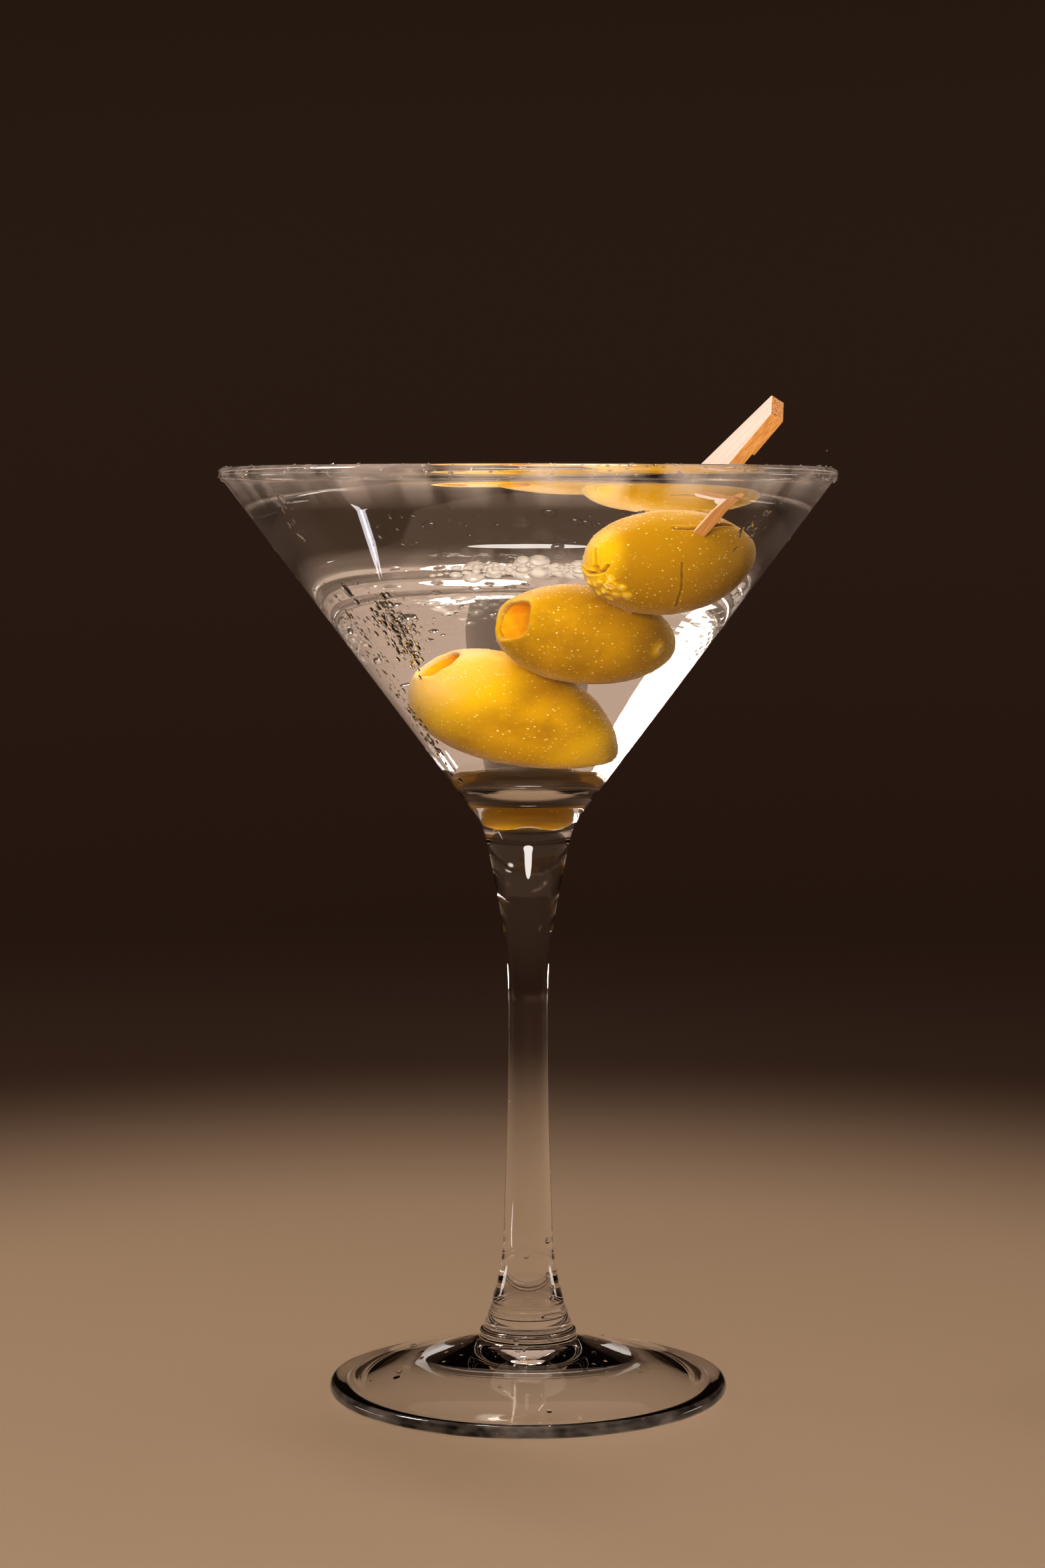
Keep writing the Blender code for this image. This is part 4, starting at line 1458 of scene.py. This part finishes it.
def rim_drops(dice):
    """The places of the fine drops all round the rim, most of them on its outer upper side."""
    places = []
    for _ in range(RIM_DROPS):
        place = on_rim(dice.uniform(0.0, 2 * math.pi), dice.gauss(*RIM_SEAT))
        length = dice.uniform(*RIM_LENGTHS)
        width = length * dice.uniform(*RIM_WIDTHS)
        places.append(sized(place, length, width, width * RIM_HEIGHT, dice.gauss(0.0, RIM_SLANT)))
    return places


rim_water = let_light_through(
    copies_of(drop_shape(8, 6), rim_drops(random.Random(31)), "rim_drops", WATER_DROP))

# %% [markdown]
# ## Bubbles
#
# Air has gathered at the back of the rim, just under the surface, as a raft of small bubbles. A bubble in
# a drink bends light the other way, so its material is the clear one with the drink's index turned over.
# Packed close, real bubbles scatter light until they look white. Tracing that would take very many
# bounces, so an even film of mist stands for it. Each bubble is drawn where it touches no other.

# %% Bubbles under the surface
FOAM_BUBBLES = 150
BUBBLE_SIZES = (0.25 * MM, 1.3 * MM)
FOAM_TURN = -0.07           # radians from the very back
FOAM_SPREAD = 0.07
FOAM_DEPTH = 2.6 * MM       # how far the raft reaches in from the wall
WALL_GAP = 0.4 * MM
SURFACE_GAP = 0.05 * MM
BUBBLE_GAP = 0.03 * MM
FOAM_WHITE = (0.95, 0.90, 0.86)
FOAM_FILM = 0.40


def foam_bubbles(dice):
    """Places of the bubbles, each with its radius as its scale."""
    places = []
    while len(places) < FOAM_BUBBLES:
        radius = BUBBLE_SIZES[0] + (BUBBLE_SIZES[1] - BUBBLE_SIZES[0]) * dice.random() ** 2.5
        turn = math.pi + dice.gauss(FOAM_TURN, FOAM_SPREAD)
        reach = BEAD_CENTRE[0] - BEAD_RADIUS - radius - WALL_GAP - abs(dice.gauss(0.0, FOAM_DEPTH))
        spot = away_from_axis(turn) * reach + UPRIGHT * (DRINK_LEVEL - radius - SURFACE_GAP)
        if all((spot - other).length > radius + far + BUBBLE_GAP for other, far in places):
            places.append((spot, radius))
    return [Matrix.Translation(spot) @ Matrix.Scale(radius, 4) for spot, radius in places]


def whole_ball(around, rings):
    """A ball one unit in radius, fine enough to be seen through."""
    work = bmesh.new()
    bmesh.ops.create_uvsphere(work, u_segments=around, v_segments=rings, radius=1.0)
    work.verts.index_update()
    return work


AIR_IN_DRINK = clear_material(
    "air_in_drink", 1.0 / DRINK_INDEX, NO_COLOUR, 0.98, waver_scale=300.0, waver_depth=0.0,
    misted=FOAM_WHITE, film=FOAM_FILM)
foam = let_light_through(
    copies_of(whole_ball(16, 10), foam_bubbles(random.Random(7)), "rim_bubbles", AIR_IN_DRINK))

# %% [markdown]
# ## Drops on the stem's base and the foot
#
# These sit on a curved surface, so each is drawn on the section itself: a stretch between two points of
# it, a share along that stretch, and a turn round the axis. The stretch also gives the way outwards.

# %% Drops on the stem's base and the foot
STEM_DROPS = 46
STEM_WIDTHS = (0.35 * MM, 1.3 * MM)
STEM_LENGTHS = (1.0, 1.3)   # shares of the width
STEM_HEIGHT = 0.4
STEM_REACH = (3 * MM, 2.6 * MM, 40 * MM)        # least radius, least and greatest height


def stem_drops(dice):
    """Places on the section of the stem's base and the foot, and of the hollow under it."""
    least_radius, lowest, highest = STEM_REACH
    section = [
        point for point in glass_section()
        if point[0] > least_radius and lowest < point[1] < highest
    ]
    places = []
    for _ in range(STEM_DROPS):
        index = dice.randrange(1, len(section) - 2)
        share = dice.random()
        around = away_from_axis(dice.uniform(0.0, 2 * math.pi))
        low, high = Vector(section[index]), Vector(section[index + 1])
        radius, height = low.lerp(high, share)
        run = (high - low).normalized()
        up = (around * -run.x + UPRIGHT * -run.y).normalized()
        out = (around * -run.y + UPRIGHT * run.x).normalized()
        place = place_on(around * radius + UPRIGHT * height, up, out)
        width = dice.uniform(*STEM_WIDTHS)
        places.append(sized(place, width, width * dice.uniform(*STEM_LENGTHS), width * STEM_HEIGHT))
    return places


stem_water = let_light_through(
    copies_of(drop_shape(12, 8), stem_drops(random.Random(23)), "stem_drops", WATER_DROP))

# %% [markdown]
# ## Hand the pieces over
#
# Every piece rides on the one body. The six that stand for solids of the frame replace them, which are
# hidden.

# %% Ride and replace
for piece, slot, node in (
    (glass, "glass", "glass"),
    (drink, "drink", "drink"),
    (olives["olive_top"], "olive", "olive_top"),
    (olives["olive_middle"], "olive", "olive_middle"),
    (olives["olive_bottom"], "olive", "olive_bottom"),
    (pick, "bamboo", "pick"),
    (beads, "drink", None),
    (bowl_water, "drink", None),
    (rim_water, "drink", None),
    (foam, "drink", None),
    (stem_water, "drink", None),
):
    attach(piece, BODY)
    if node:
        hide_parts(node)
